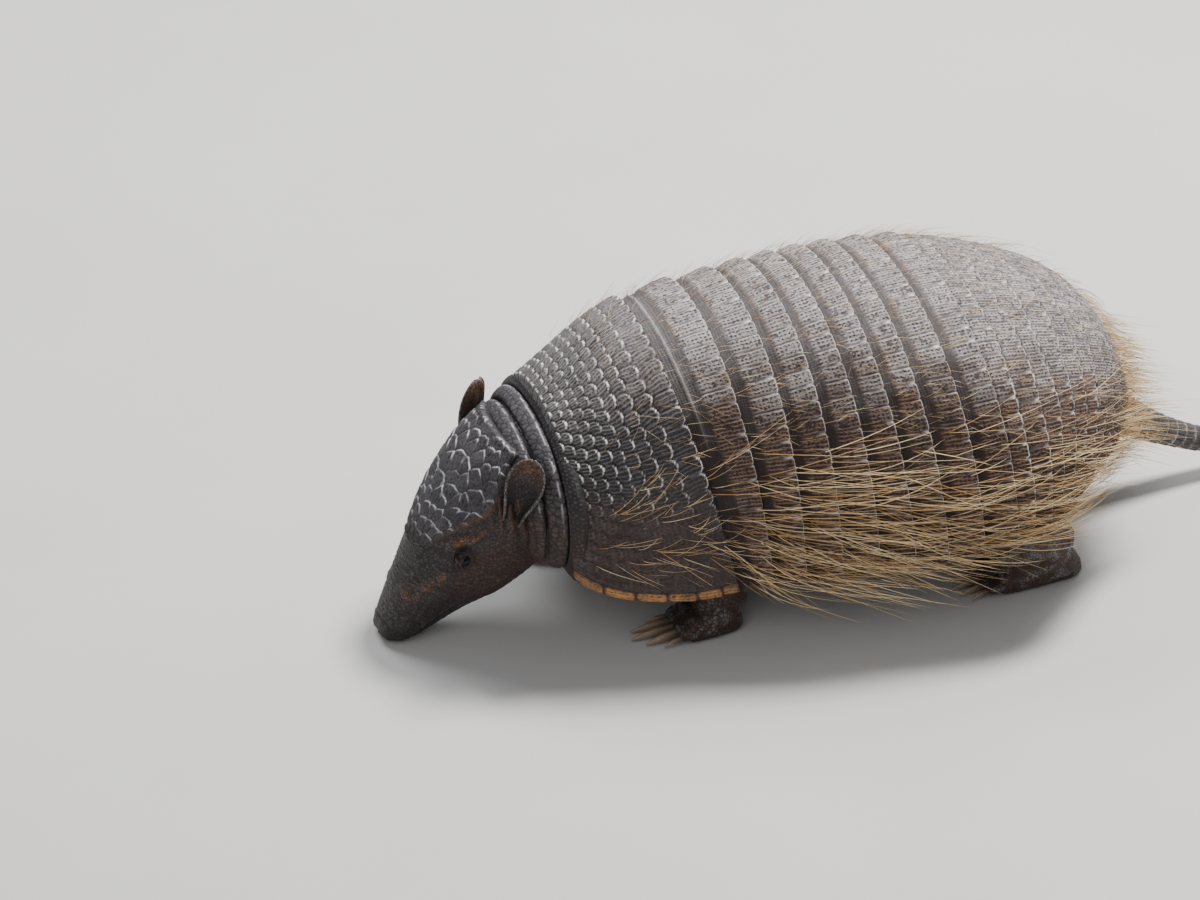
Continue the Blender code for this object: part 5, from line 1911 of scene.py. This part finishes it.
@dataclass
class Ear:
    """A cupped ear: an arc in section that closes towards its root."""

    side: Side
    root: Triple = (-0.0142, -0.0338, 0.0728)
    axis: Triple = (0.22, -0.19, 0.957)
    facing: Triple = (-0.62, -0.78, 0.0)
    length: float = 30.0 * MM
    width: float = 17.0 * MM
    cup: float = 5.8 * MM
    thick: float = 1.3 * MM

    def build(self) -> MeshData:
        """The ear as a closed cup with rolled edges and the values rust, crease and pale.

        Its middle sheet is an arc across, as wide as a rounded outline along, and both
        faces stand off that sheet by half the thickness.
        """
        u, v = np.linspace(-0.14, 1, 60)[:, None], np.linspace(-1, 1, 60)[None, :]
        held = np.clip(u, 0, 1)
        above = np.sqrt(np.clip(1 - (np.maximum(u - 0.56, 0) / 0.452) ** 2.2, 0.015, 1))
        half = self.width / 2 * above * (0.46 + 0.54 * step(-0.14, 0.62, u))
        axis = unit(np.array(self.axis))
        facing = unit(np.array(self.facing) - np.dot(self.facing, axis) * axis)
        broad = np.cross(axis, facing)
        reach = 1.55 - 0.75 * held
        turn = v * reach
        across = half * np.sin(turn) / np.sin(np.minimum(reach, pi / 2))
        depth = self.cup * (np.cos(reach) - np.cos(turn)) / (1 - np.cos(reach)) * (1 - 0.35 * u) * above ** 0.9
        ripple = 0.35 * MM * np.sin(9 * v + 4 * u) * (1 - v ** 2) * held
        middle = (np.array(self.root) - (TRUNK.origin_x, 0, 0) + (u * self.length)[..., None] * axis
                  + across[..., None] * broad + (depth + ripple)[..., None] * facing)
        middle = middle - 0.10 * self.length * (held ** 2)[..., None] * facing
        normal = grid_normals(middle)
        normal = normal * np.sign(normal[20, 30] @ facing)
        edge = np.sqrt(np.clip(1 - v ** 8, 0, 1)) * np.sqrt(np.clip(1 - held ** 14, 0, 1))
        body = self.thick / 2 * (0.35 + 0.65 * edge + 0.25 * (1 - u))[..., None] * normal
        inside = lattice_noise(141, u * 26, v * 9)
        rim = np.maximum(step(0.86, 0.98, np.abs(v)), step(0.94, 0.99, u))
        hole = np.exp(-((u - 0.32) / 0.26) ** 2 - (v / 0.52) ** 2)
        # The dark base and hollow of the cup are painted shade, and the pale rim is a painted highlight.
        values = {"rust": 0.75 * (1 - rim) * inside * step(0.4, 0.8, u),
                  "crease": np.clip(0.10 + 0.60 * (1 - step(0.0, 0.60, u + 0.25 * v ** 2)) + 1.1 * hole, 0, 1),
                  "pale": 0.75 * rim * (0.4 + 0.6 * inside)}
        data = shell(middle + body, middle - body, values, stride=2)
        return data if self.side is Side.LEFT else data.mirrored()


@dataclass
class Tail:
    """The tail: rings of small scutes that shrink to the tip."""

    # x, z and radius
    stations: tuple[Triple, ...] = (
        (0.2675, 0.0532, 0.0125), (0.2715, 0.0515, 0.0122), (0.2870, 0.0410, 0.0092), (0.3070, 0.0282, 0.0068),
        (0.3330, 0.0163, 0.0055), (0.3615, 0.0095, 0.0045), (0.3875, 0.0063, 0.0033), (0.4035, 0.0056, 0.0014))
    ring: float = 5.4 * MM
    count: int = 14
    rows: int = 300
    columns: int = 72
    seed: int = 7
    profile: ScuteProfile = ScuteProfile(
        dome_mm=0.45, edge_mm=0.4, tilt_mm=0.45, pit_mm=0.1, rim_start_mm=0.05, rim_width_mm=0.6)

    def build(self) -> MeshData:
        """The tail as one closed tube: rings square to a smooth path, with the scutes raised."""
        steps = np.linspace(0, len(self.stations) - 1, self.rows)
        x, z, radius = smooth(range(len(self.stations)), self.stations, steps).T
        path = np.stack([x - TRUNK.origin_x, np.zeros(self.rows), z], axis=-1)
        run = run_along(path)[:, None]
        level = np.array((0.0, 1.0, 0.0))
        second = np.cross(unit(np.gradient(path, axis=0)), level)
        turn = full_turn(self.columns)[None, :]
        radius = np.maximum(radius, 0.4 * MM)[:, None]
        ring, part, to_end = cell_share(run / self.ring)
        cell, frac, to_side = cell_share(turn / (2 * pi) * self.count + 0.5 * (ring % 2))
        border = np.minimum(to_side * 2 * pi * radius / self.count, to_end * self.ring)
        table = np.random.default_rng(self.seed).random((97, 97))
        tone = table[ring.astype(int) % len(table), cell.astype(int) % len(table)]
        laid = Laid(border, 2 * frac - 1, 2 * part - 1, tone)
        masks = self.profile.raise_plates(laid, turn * radius, run, 17)
        out = radius - 0.35 * MM + masks["height"] * np.clip(radius / (7 * MM), 0.15, 1)
        rings = path[:, None] + out[..., None] * (
            np.cos(turn)[..., None] * level + np.sin(turn)[..., None] * second[:, None])
        rings[..., 2] = np.maximum(rings[..., 2], 0.3 * MM)
        return tube(rings, plate_values(masks, rim=0.45 * masks["rim"], light=0.35, fore=0.80))


@dataclass
class Body:
    """Everything under and beside the armour: skin, eyes, ears, claws and tail."""

    shoulder: Triple = (0.0640, 0.0330, 0.0640)
    hip: Triple = (0.2080, 0.0460, 0.0680)
    fore_x: tuple[tuple[Side, float], ...] = ((Side.LEFT, 0.0720), (Side.RIGHT, 0.0300))
    hind_x: tuple[tuple[Side, float], ...] = ((Side.LEFT, 0.2210), (Side.RIGHT, 0.1780))
    fore_side: float = 0.0430
    hind_side: float = 0.0540
    leg_voxel: float = 1.56 * MM

    def limbs(self) -> list[Limb]:
        """The four legs in mid stride."""
        made = []
        for side, x in self.fore_x:
            elbow = (0.5 * (self.shoulder[0] + x) + 0.0100, 0.5 * (self.shoulder[1] + self.fore_side) - 0.002,
                     0.0330)
            made.append(Limb("fore", side, (x, self.fore_side), (0.0310, 0.0230, 0.0150),
                             (self.shoulder, elbow, (x + 0.0070, self.fore_side, 0.0120)),
                             (0.0180, 0.0130, 0.0098), (0.0110, 0.0200, 0.0220, 0.0165, 0.0090)))
        for side, x in self.hind_x:
            knee = (0.5 * (self.hip[0] + x) - 0.0040, self.hind_side, 0.0370)
            made.append(Limb("hind", side, (x, self.hind_side), (0.0480, 0.0240, 0.0160),
                             (self.hip, knee, (x + 0.0130, self.hind_side, 0.0130)),
                             (0.0250, 0.0190, 0.0105), (0.0090, 0.0130, 0.0145, 0.0125, 0.0085)))
        return made

    def trunk(self) -> MeshData:
        """The trunk under the armour, with cosine folds along the belly, bent by noise."""
        turn = full_turn(84)
        rings = np.stack([flesh_ring(s, turn, 4.2 * MM + 2.6 * MM * float(step(4.4, 5.8, s)))
                          for s in np.linspace(0.10, 6.40, 90)])
        x, y, _ = np.moveaxis(rings, -1, 0)
        below = step(0.1, 0.6, -np.sin(turn))[None, :]
        fold = np.cos(2 * pi * x / (6.2 * MM) + 5 * speckle(151, 14, x, y))
        rings[..., 2] -= 0.45 * MM * fold * below
        # The troughs of the belly's folds are darkened as painted shade.
        return tube(rings, {"rust": 0.35 * below * step(-0.2, 1.0, fold), "pale": 0.0,
                            "crease": 0.4 * below * step(0.3, 1.0, -fold)})

    def leg_skin(self, limbs: list[Limb]) -> MeshData:
        """The legs and feet, with small scales raised where a noise is high.

        Args:
            limbs: The four legs.
        Returns:
            The skin.
        """
        data = melt([part for limb in limbs for part in limb.parts()], self.leg_voxel, 3)
        normal, z = data.normals(), data.points[:, 2]
        scale = speckle(161, 2.9, *data.points.T)
        raised = step(0.45, 0.75, scale)
        data.points += (0.45 * MM * raised)[:, None] * normal * step(0.0005, 0.003, z)[:, None]
        data.points[:, 2] = np.maximum(data.points[:, 2], 0.0)
        # The low places between the scales are darkened as painted shade.
        data.values = {"rust": 0.22 * (1 - raised), "crease": 0.35 * (1 - step(0.15, 0.45, scale)),
                       "pale": 0.42 * raised * step(0.001, 0.006, z) * (1 - step(0.020, 0.040, z))}
        return data

    def build(self, effects: Effects, scutes: Material) -> None:
        """Make every piece and put it in place.

        Args:
            effects: The shared shader groups.
            scutes: The trunk's finish, for the tail.
        """
        hide, glass, horn = SkinFinish().build(effects), EyeFinish().build(), HornFinish().build()
        head, limbs = HeadSkin(), self.limbs()
        skin = join([head.build(), *(head.lids(side) for side in Side), self.trunk(), self.leg_skin(limbs)])
        flesh = ["head", "lower_jaw", "neck", "trunk"]
        flesh += [f"{region}_{part}_{side.label}" for region in ("fore", "hind") for part in ("leg", "foot")
                  for side in Side]
        place("skin", skin, hide, "skin", tuple(flesh))
        for side in Side:
            place(f"eyeball_{side.label}", head.eye(side), glass, "eye", (f"eye_{side.label}",))
            ear = Ear(side) if side is Side.LEFT else Ear(side, axis=(0.14, -0.06, 0.97))
            place(f"ear_skin_{side.label}", ear.build(), hide, "skin", (f"ear_{side.label}",))
        for limb in limbs:
            names = tuple(f"{limb.region}_claw_{limb.side.label}_{digit}" for digit in range(1, 6))
            place(f"{limb.region}_claws_{limb.side.label}", limb.claw_set(), horn, "claw", names)
        place("tail_scutes", Tail().build(), scutes, "skin", ("tail_base", "tail_tip"))


# ---------------------------------------------------------------- coat
@dataclass(frozen=True)
class HairZone:
    """A patch of the coat: where it grows, how thick it stands, and how its locks lie.

    Stations and heights are ramps: (start, full, fading, end) of the body's length, and
    the same of the share of the way up the side. Angles are degrees down from straight back.
    """

    name: str
    stations: Ramp
    heights: Ramp
    per_cm2: float
    length_mm: Pair
    down_low: float
    down_high: float
    lie: Lie
    root_mm: float
    spread: float
    shade: Pair
    seed: int

    def density(self, station: Array, height: Array) -> Array:
        """Share of the full density at a place: up one side of each ramp, down the other.

        Args:
            station: Place along the body.
            height: Share of the way up the side.
        Returns:
            The share, 0 to 1.
        """
        a, b, c, d = self.stations
        e, f, g, h = self.heights
        return step(a, b, station) * (1 - step(c, d, station)) * step(e, f, height) * (1 - step(g, h, height))


@dataclass
class Coat:
    """The hair of one side, grown as thin closed locks from the flank and the rump."""

    side: Side
    rings: int = 7
    root_inset: float = 0.4 * MM
    patch: float = 0.003
    floor_gap: float = 16 * MM
    draws: int = 90000
    low_angle: float = -0.16
    # Tufts are this long and wide, and their roots are pulled in by this share.
    tuft: Pair = (0.10, 0.055)
    pull: float = 0.35
    # Behind this station the locks run on straight, and do not follow the trunk.
    rump: float = 6.2
    zones: tuple[HairZone, ...] = (
        HairZone("flank_locks", (0.95, 1.30, 3.9, 4.6), (-0.35, -0.2, 0.05, 0.68), 6.8, (26, 52), 23, -4,
                 Lie.LOOSE, 0.37, 10, (0.64, 0.30), 11),
        HairZone("hip_locks", (3.6, 4.4, 6.0, 6.6), (-0.25, -0.1, 0.12, 0.90), 5.8, (22, 42), 18, -8,
                 Lie.LOOSE, 0.30, 11, (0.54, 0.28), 12),
        HairZone("rump_locks", (5.0, 5.9, 6.45, 6.75), (-0.5, -0.4, 1.2, 1.3), 18.0, (11, 25), 14, 0,
                 Lie.RAISED, 0.26, 14, (0.56, 0.26), 13),
        HairZone("shoulder_hairs", (0.10, 0.40, 1.05, 1.25), (-0.2, 0.0, 0.34, 0.66), 3.4, (10, 26), 4, -32,
                 Lie.RAISED, 0.26, 18, (0.62, 0.22), 14),
        HairZone("back_bristles", (0.30, 0.7, 6.4, 6.8), (0.42, 0.60, 1.2, 1.3), 3.2, (5, 13), 6, 6,
                 Lie.RAISED, 0.17, 18, (0.50, 0.30), 15),
        HairZone("belly_hair", (0.7, 1.2, 5.4, 6.2), (-0.62, -0.56, -0.1, 0.0), 4.0, (10, 20), 40, 34,
                 Lie.LOOSE, 0.32, 14, (0.40, 0.28), 16),
    )

    def roots(self, zone: HairZone, dice: np.random.Generator) -> Arrays:
        """Draw root places by density and area, then pull them together into small tufts.

        Args:
            zone: The patch.
            dice: Source of random numbers.
        Returns:
            Station, angle and height share of each root.
        """
        start, end = zone.stations[0], zone.stations[3]
        station = dice.uniform(start, end, self.draws)
        angle = dice.uniform(self.low_angle, 0.5 * pi, self.draws)
        height = power(np.sin(angle), TRUNK.exponent) - 1.2 * np.clip(-angle, 0, 1)
        along, across = TRUNK.scale(station, np.maximum(angle, 0.02))
        area_cm2 = along * across * (end - start) * (0.5 * pi - self.low_angle) * 1e4
        clumps = 0.55 + 0.9 * lattice_noise(zone.seed, station / 0.12, angle / 0.07)
        chance = zone.per_cm2 * zone.density(station, height) * area_cm2 * clumps / self.draws
        kept = dice.random(self.draws) < chance
        pulled = [place[kept] + self.pull * ((np.floor(place[kept] / size) + 0.5) * size - place[kept])
                  for place, size in zip((station, angle), self.tuft)]
        return pulled[0], pulled[1], height[kept]

    def paths(self, zone: HairZone, station: Array, angle: Array, height: Array,
              dice: np.random.Generator) -> Array:
        """Centre lines of the locks.

        A lock runs over the trunk's surface at its own bearing, rises off it by its lie,
        bends to one side, hangs straight down once past the armour's edge, and runs on
        straight behind the rump.

        Args:
            zone: The patch.
            station: Station of each root.
            angle: Angle of each root.
            height: Height share of each root.
            dice: Source of random numbers.
        Returns:
            Points of (locks, rings + 1, 3).
        """
        n = len(station)
        share = np.linspace(0, 1, self.rings + 1)[None, :]
        flow = lattice_noise(zone.seed + 50, station / 0.30, angle / 0.16) - 0.5
        low = zone.down_low * (1 - 0.85 * step(2.1, 3.5, station))
        tilt = low + (zone.down_high - low) * step(-0.05, 0.55, height)
        tilt = np.radians(tilt + 26 * flow + zone.spread * dice.standard_normal(n))[:, None]
        length = dice.uniform(*zone.length_mm, n)[:, None] * MM
        length = length * (0.8 + 0.4 * lattice_noise(zone.seed + 70, station / 0.4, angle / 0.2))[:, None]
        bend = (0.10 * dice.standard_normal(n) + 0.05)[:, None]
        rise = (zone.lie.value * dice.uniform(0.45, 1.5, n))[:, None]
        run = length * share
        follow, root, up = self.over_body(
            station, angle, run * np.cos(tilt), run * np.sin(tilt) - bend * length * share ** 2)
        lift = 1.9 * MM * (share > 0) * (1 - np.exp(-share * 9)) - self.root_inset
        lift = lift + run * rise * (1 - 0.35 * share)
        follow = follow + lift[..., None] * up
        root, up = root[:, :1], up[:, :1]
        ahead = unit(TRUNK.differences(station, angle, 0.03)[0])[:, None]
        heading = unit(np.cos(tilt)[..., None] * (0.55 * ahead + np.array((0.62, 0.0, 0.10)))
                       - np.sin(tilt)[..., None] * np.cross(up, ahead) + (0.35 + rise)[..., None] * up)
        free = root + run[..., None] * heading - self.root_inset * up
        free = free + (length * share ** 2 * 0.30)[..., None] * np.array((0.45, 0.0, -0.62))
        path = follow + step(5.0, 6.0, station)[:, None, None] * (free - follow)
        above = path[..., 2] - self.floor_gap
        path[..., 2] = self.floor_gap + np.maximum(above, 0.12 * above)
        return path

    def over_body(self, station: Array, angle: Array, back: Array, down: Array) -> Arrays:
        """Follow the trunk's surface from the roots, then hang free of its edges.

        Args:
            station: Station of each root.
            angle: Angle of each root.
            back: Metres run backwards, of (locks, points).
            down: Metres run down, of the same shape.
        Returns:
            The points, their places on the trunk, and the trunk's normals there.
        """
        along, across = TRUNK.scale(station, np.maximum(angle, 0.02))
        along, across = np.maximum(along, 0.012)[:, None], np.maximum(across, 0.02)[:, None]
        station = station[:, None]
        s, a = station + back / along, angle[:, None] - down / across
        over_s = np.maximum(s - self.rump, 0) * along
        limit = TRUNK.lower_edge(np.clip(s, 0, TRUNK.last)) + 0.03
        over_a = np.maximum(limit - a, 0) * across
        s, a = np.where(station > self.rump, station, np.minimum(s, self.rump)), np.maximum(a, limit)
        on_body = TRUNK.surface(s, a)
        points = on_body.copy()
        points[..., 0] += 0.30 * over_a + 0.95 * over_s
        points[..., 1] -= 0.10 * over_a
        points[..., 2] -= 0.92 * over_a + 0.25 * over_s
        return points, on_body, TRUNK.normal(s, np.clip(a, 0.03, pi - 0.03))

    def bake_places(self, zone: HairZone, station: Array, angle: Array, along: Array) -> Array:
        """Texture places: a small patch per lock, laid out by where its root is.

        Args:
            zone: The patch of the coat.
            station: Station of each root.
            angle: Angle of each root.
            along: Share of the lock's length at each of its points.
        Returns:
            Places in the texture, one per point of all the locks.
        """
        root_u = 0.01 + 0.98 * (station - zone.stations[0]) / (zone.stations[3] - zone.stations[0])
        root_v = 0.01 + 0.98 * (angle - self.low_angle) / (0.5 * pi - self.low_angle)
        round_u = np.append(np.tile(np.arange(3) / 2 - 0.5, self.rings), 0.0)
        return np.stack([root_u[:, None] + self.patch * round_u,
                         root_v[:, None] + self.patch * (along - 0.5)], axis=-1).reshape(-1, 2)

    def locks(self, zone: HairZone) -> MeshData:
        """All the locks of one patch, each a closed three-sided taper.

        A ring's radius falls as the root of what is left of the lock, so that it keeps its
        body to near the tip, and the last ring closes in a point.

        Args:
            zone: The patch.
        Returns:
            The locks as one mesh.
        """
        dice = np.random.default_rng(zone.seed + (0 if self.side is Side.LEFT else 500))
        station, angle, height = self.roots(zone, dice)
        path = self.paths(zone, station, angle, height, dice)
        n = len(station)
        heading = unit(np.gradient(path, axis=1))
        first = unit(np.cross(heading, unit(dice.standard_normal((n, 1, 3)))))
        second = np.cross(heading, first)
        share = np.linspace(0, 1, self.rings + 1)
        width = zone.root_mm * MM / 2 * dice.uniform(0.7, 1.3, (n, 1)) * np.sqrt(1.02 - share)[None, :]
        turn = full_turn(3)[:, None]
        rings = path[:, :-1, None] + width[:, :-1, None, None] * (
            np.cos(turn) * first[:, :-1, None] + np.sin(turn) * second[:, :-1, None])
        points = np.concatenate([rings.reshape(n, -1, 3), path[:, -1:]], axis=1)
        per = points.shape[1]
        index = np.arange(per - 1).reshape(self.rings, 3)
        beside = np.roll(index, -1, 1)
        quads = np.stack([index[:-1], beside[:-1], beside[1:], index[1:]], -1)
        tips = np.stack([index[-1], beside[-1], np.full(3, per - 1)], -1)
        one = np.concatenate([quads.ravel(), tips.ravel(), index[0, ::-1]])
        sizes = np.append(np.full(quads.size // 4, 4), np.full(4, 3))
        corners = (one[None, :] + per * np.arange(n)[:, None]).ravel()
        strand = np.clip(zone.shade[0] + zone.shade[1] * dice.standard_normal(n), 0, 1)
        along = np.append(np.repeat(share[:-1], 3), 1.0)
        data = MeshData(points.reshape(-1, 3), corners, np.tile(sizes, n),
                        {"strand": np.repeat(strand, per), "along": np.tile(along, n)},
                        self.bake_places(zone, station, angle, along)).facing_out()
        return data if self.side is Side.LEFT else data.mirrored()

    def build(self, finish: Material) -> None:
        """Grow every patch; the flank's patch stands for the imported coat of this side.

        Args:
            finish: The hair's finish.
        """
        for zone in self.zones:
            replaced = (f"coat_{self.side.label}",) if zone is self.zones[0] else ()
            place(f"{zone.name}_{self.side.label}", self.locks(zone), finish, "coat", replaced)


# ---------------------------------------------------------------- stage
def bearing(azimuth: float, elevation: float) -> Array:
    """Unit vector from the model towards a bearing in degrees; azimuth 0 is the -Y side."""
    a, e = radians(azimuth), radians(elevation)
    return np.array((sin(a) * cos(e), -cos(a) * cos(e), sin(e)))


def aim(direction: Array) -> mathutils.Euler:
    """Turn of an object whose -Z looks along a direction with Z up."""
    return mathutils.Vector(direction).to_track_quat("-Z", "Y").to_euler()


@dataclass(frozen=True)
class SoftLight:
    """A large area light that faces the model."""

    name: str
    azimuth: float
    elevation: float
    distance: float
    size: float
    watts: float
    colour: Triple

    def build(self, target: Array) -> None:
        """Hang the light at its bearing from the target and turn it there.

        Args:
            target: The point to face.
        """
        data = bpy.data.lights.new(self.name, "AREA")
        data.shape = "DISK"
        data.size, data.energy, data.color = self.size, self.watts, self.colour
        lamp = add_object(self.name, data)
        back = bearing(self.azimuth, self.elevation)
        lamp.location = target + self.distance * back
        lamp.rotation_euler = aim(-back)


@dataclass
class Stage:
    """Pale floor, soft lights and the camera."""

    azimuth: float = -22.0
    elevation: float = 33.0
    lens: float = 175.5
    distance: float = 2.6
    target: Triple = (-0.027, 0.0, 0.0655)
    across: float = -0.0964
    up: float = -0.0129
    half_floor: float = 6.0
    floor_bend: float = 2.0
    flat_share: float = 0.75
    floor_rows: int = 40
    air: Colour = (0.92, 0.94, 1.0, 1.0)
    air_strength: float = 0.29
    lights: tuple[SoftLight, ...] = (
        SoftLight("key_light", 112.0, 63.0, 1.7, 0.45, 50.0, (1.0, 0.985, 0.96)),
        SoftLight("rear_light", 200.0, 50.0, 1.8, 0.9, 17.0, (0.96, 0.98, 1.0)),
        SoftLight("fill_light", -40.0, 40.0, 2.2, 1.5, 8.5, (1.0, 0.98, 0.96)),
    )

    def build(self) -> None:
        """Lay the floor, hang the lights and set the camera."""
        self.floor()
        for light in self.lights:
            light.build(np.array(self.target))
        world = bpy.data.worlds.new("studio_air")
        world.use_nodes = True
        sky = world.node_tree.nodes["Background"]
        sky.inputs[0].default_value, sky.inputs[1].default_value = self.air, self.air_strength
        bpy.context.scene.world = world
        self.camera()

    def floor(self) -> None:
        """A pale matt floor that bends up in a quarter circle far behind the model."""
        half, flat, rows = self.half_floor, self.flat_share, self.floor_rows
        run = np.linspace(0, 1, rows)
        bend = np.clip((run - flat) / (1 - flat), 0, 1) * pi / 2
        y = -half + 2 * half * np.minimum(run, flat) / flat + self.floor_bend * np.sin(bend)
        left = np.stack([np.full(rows, -half), y, self.floor_bend * (1 - np.cos(bend))], axis=-1)
        points = np.stack([left, left + (2 * half, 0, 0)], axis=1).reshape(-1, 3)
        index = np.arange(2 * rows).reshape(rows, 2)
        faces = np.stack([index[:-1, 0], index[:-1, 1], index[1:, 1], index[1:, 0]], axis=-1)
        mesh = bpy.data.meshes.new("floor")
        mesh.from_pydata(points, [], faces.tolist())
        mesh.shade_smooth()
        material, graph, shader = new_material("pale_floor")
        cloud = graph.ramp(graph.noise(graph.spot(), 6.0, 3.0), 0.3, 0.7)
        grey = graph.blend(cloud, (0.66, 0.65, 0.63, 1), (0.69, 0.68, 0.66, 1))
        graph.feed(shader.inputs["Base Color"], grey)
        shader.inputs["Roughness"].default_value = 0.75
        mesh.materials.append(material)
        add_object("floor", mesh)

    def camera(self) -> None:
        """A long lens at the bearing that the animal is meant to be seen from."""
        back = bearing(self.azimuth, self.elevation)
        right = np.array((cos(radians(self.azimuth)), sin(radians(self.azimuth)), 0.0))
        look = np.array(self.target) + self.across * right + self.up * np.cross(back, right)
        data = bpy.data.cameras.new("camera")
        data.lens, data.sensor_width, data.clip_end = self.lens, 36.0, 50.0
        camera = add_object("camera", data)
        camera.location = np.array(self.target) + self.distance * back
        camera.rotation_euler = aim(look - np.array(self.target) - self.distance * back)
        bpy.context.scene.camera = camera


def main() -> None:
    """Build the stage, then the model from the inside out."""
    logging.basicConfig(level=logging.INFO, format="%(name)s %(message)s")
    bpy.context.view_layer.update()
    effects = Effects()
    Stage().build()
    scutes = Armour().build(effects)
    Body().build(effects, scutes)
    hair = HairFinish().build()
    for side in Side:
        Coat(side).build(hair)


if __name__ == "__main__":
    main()
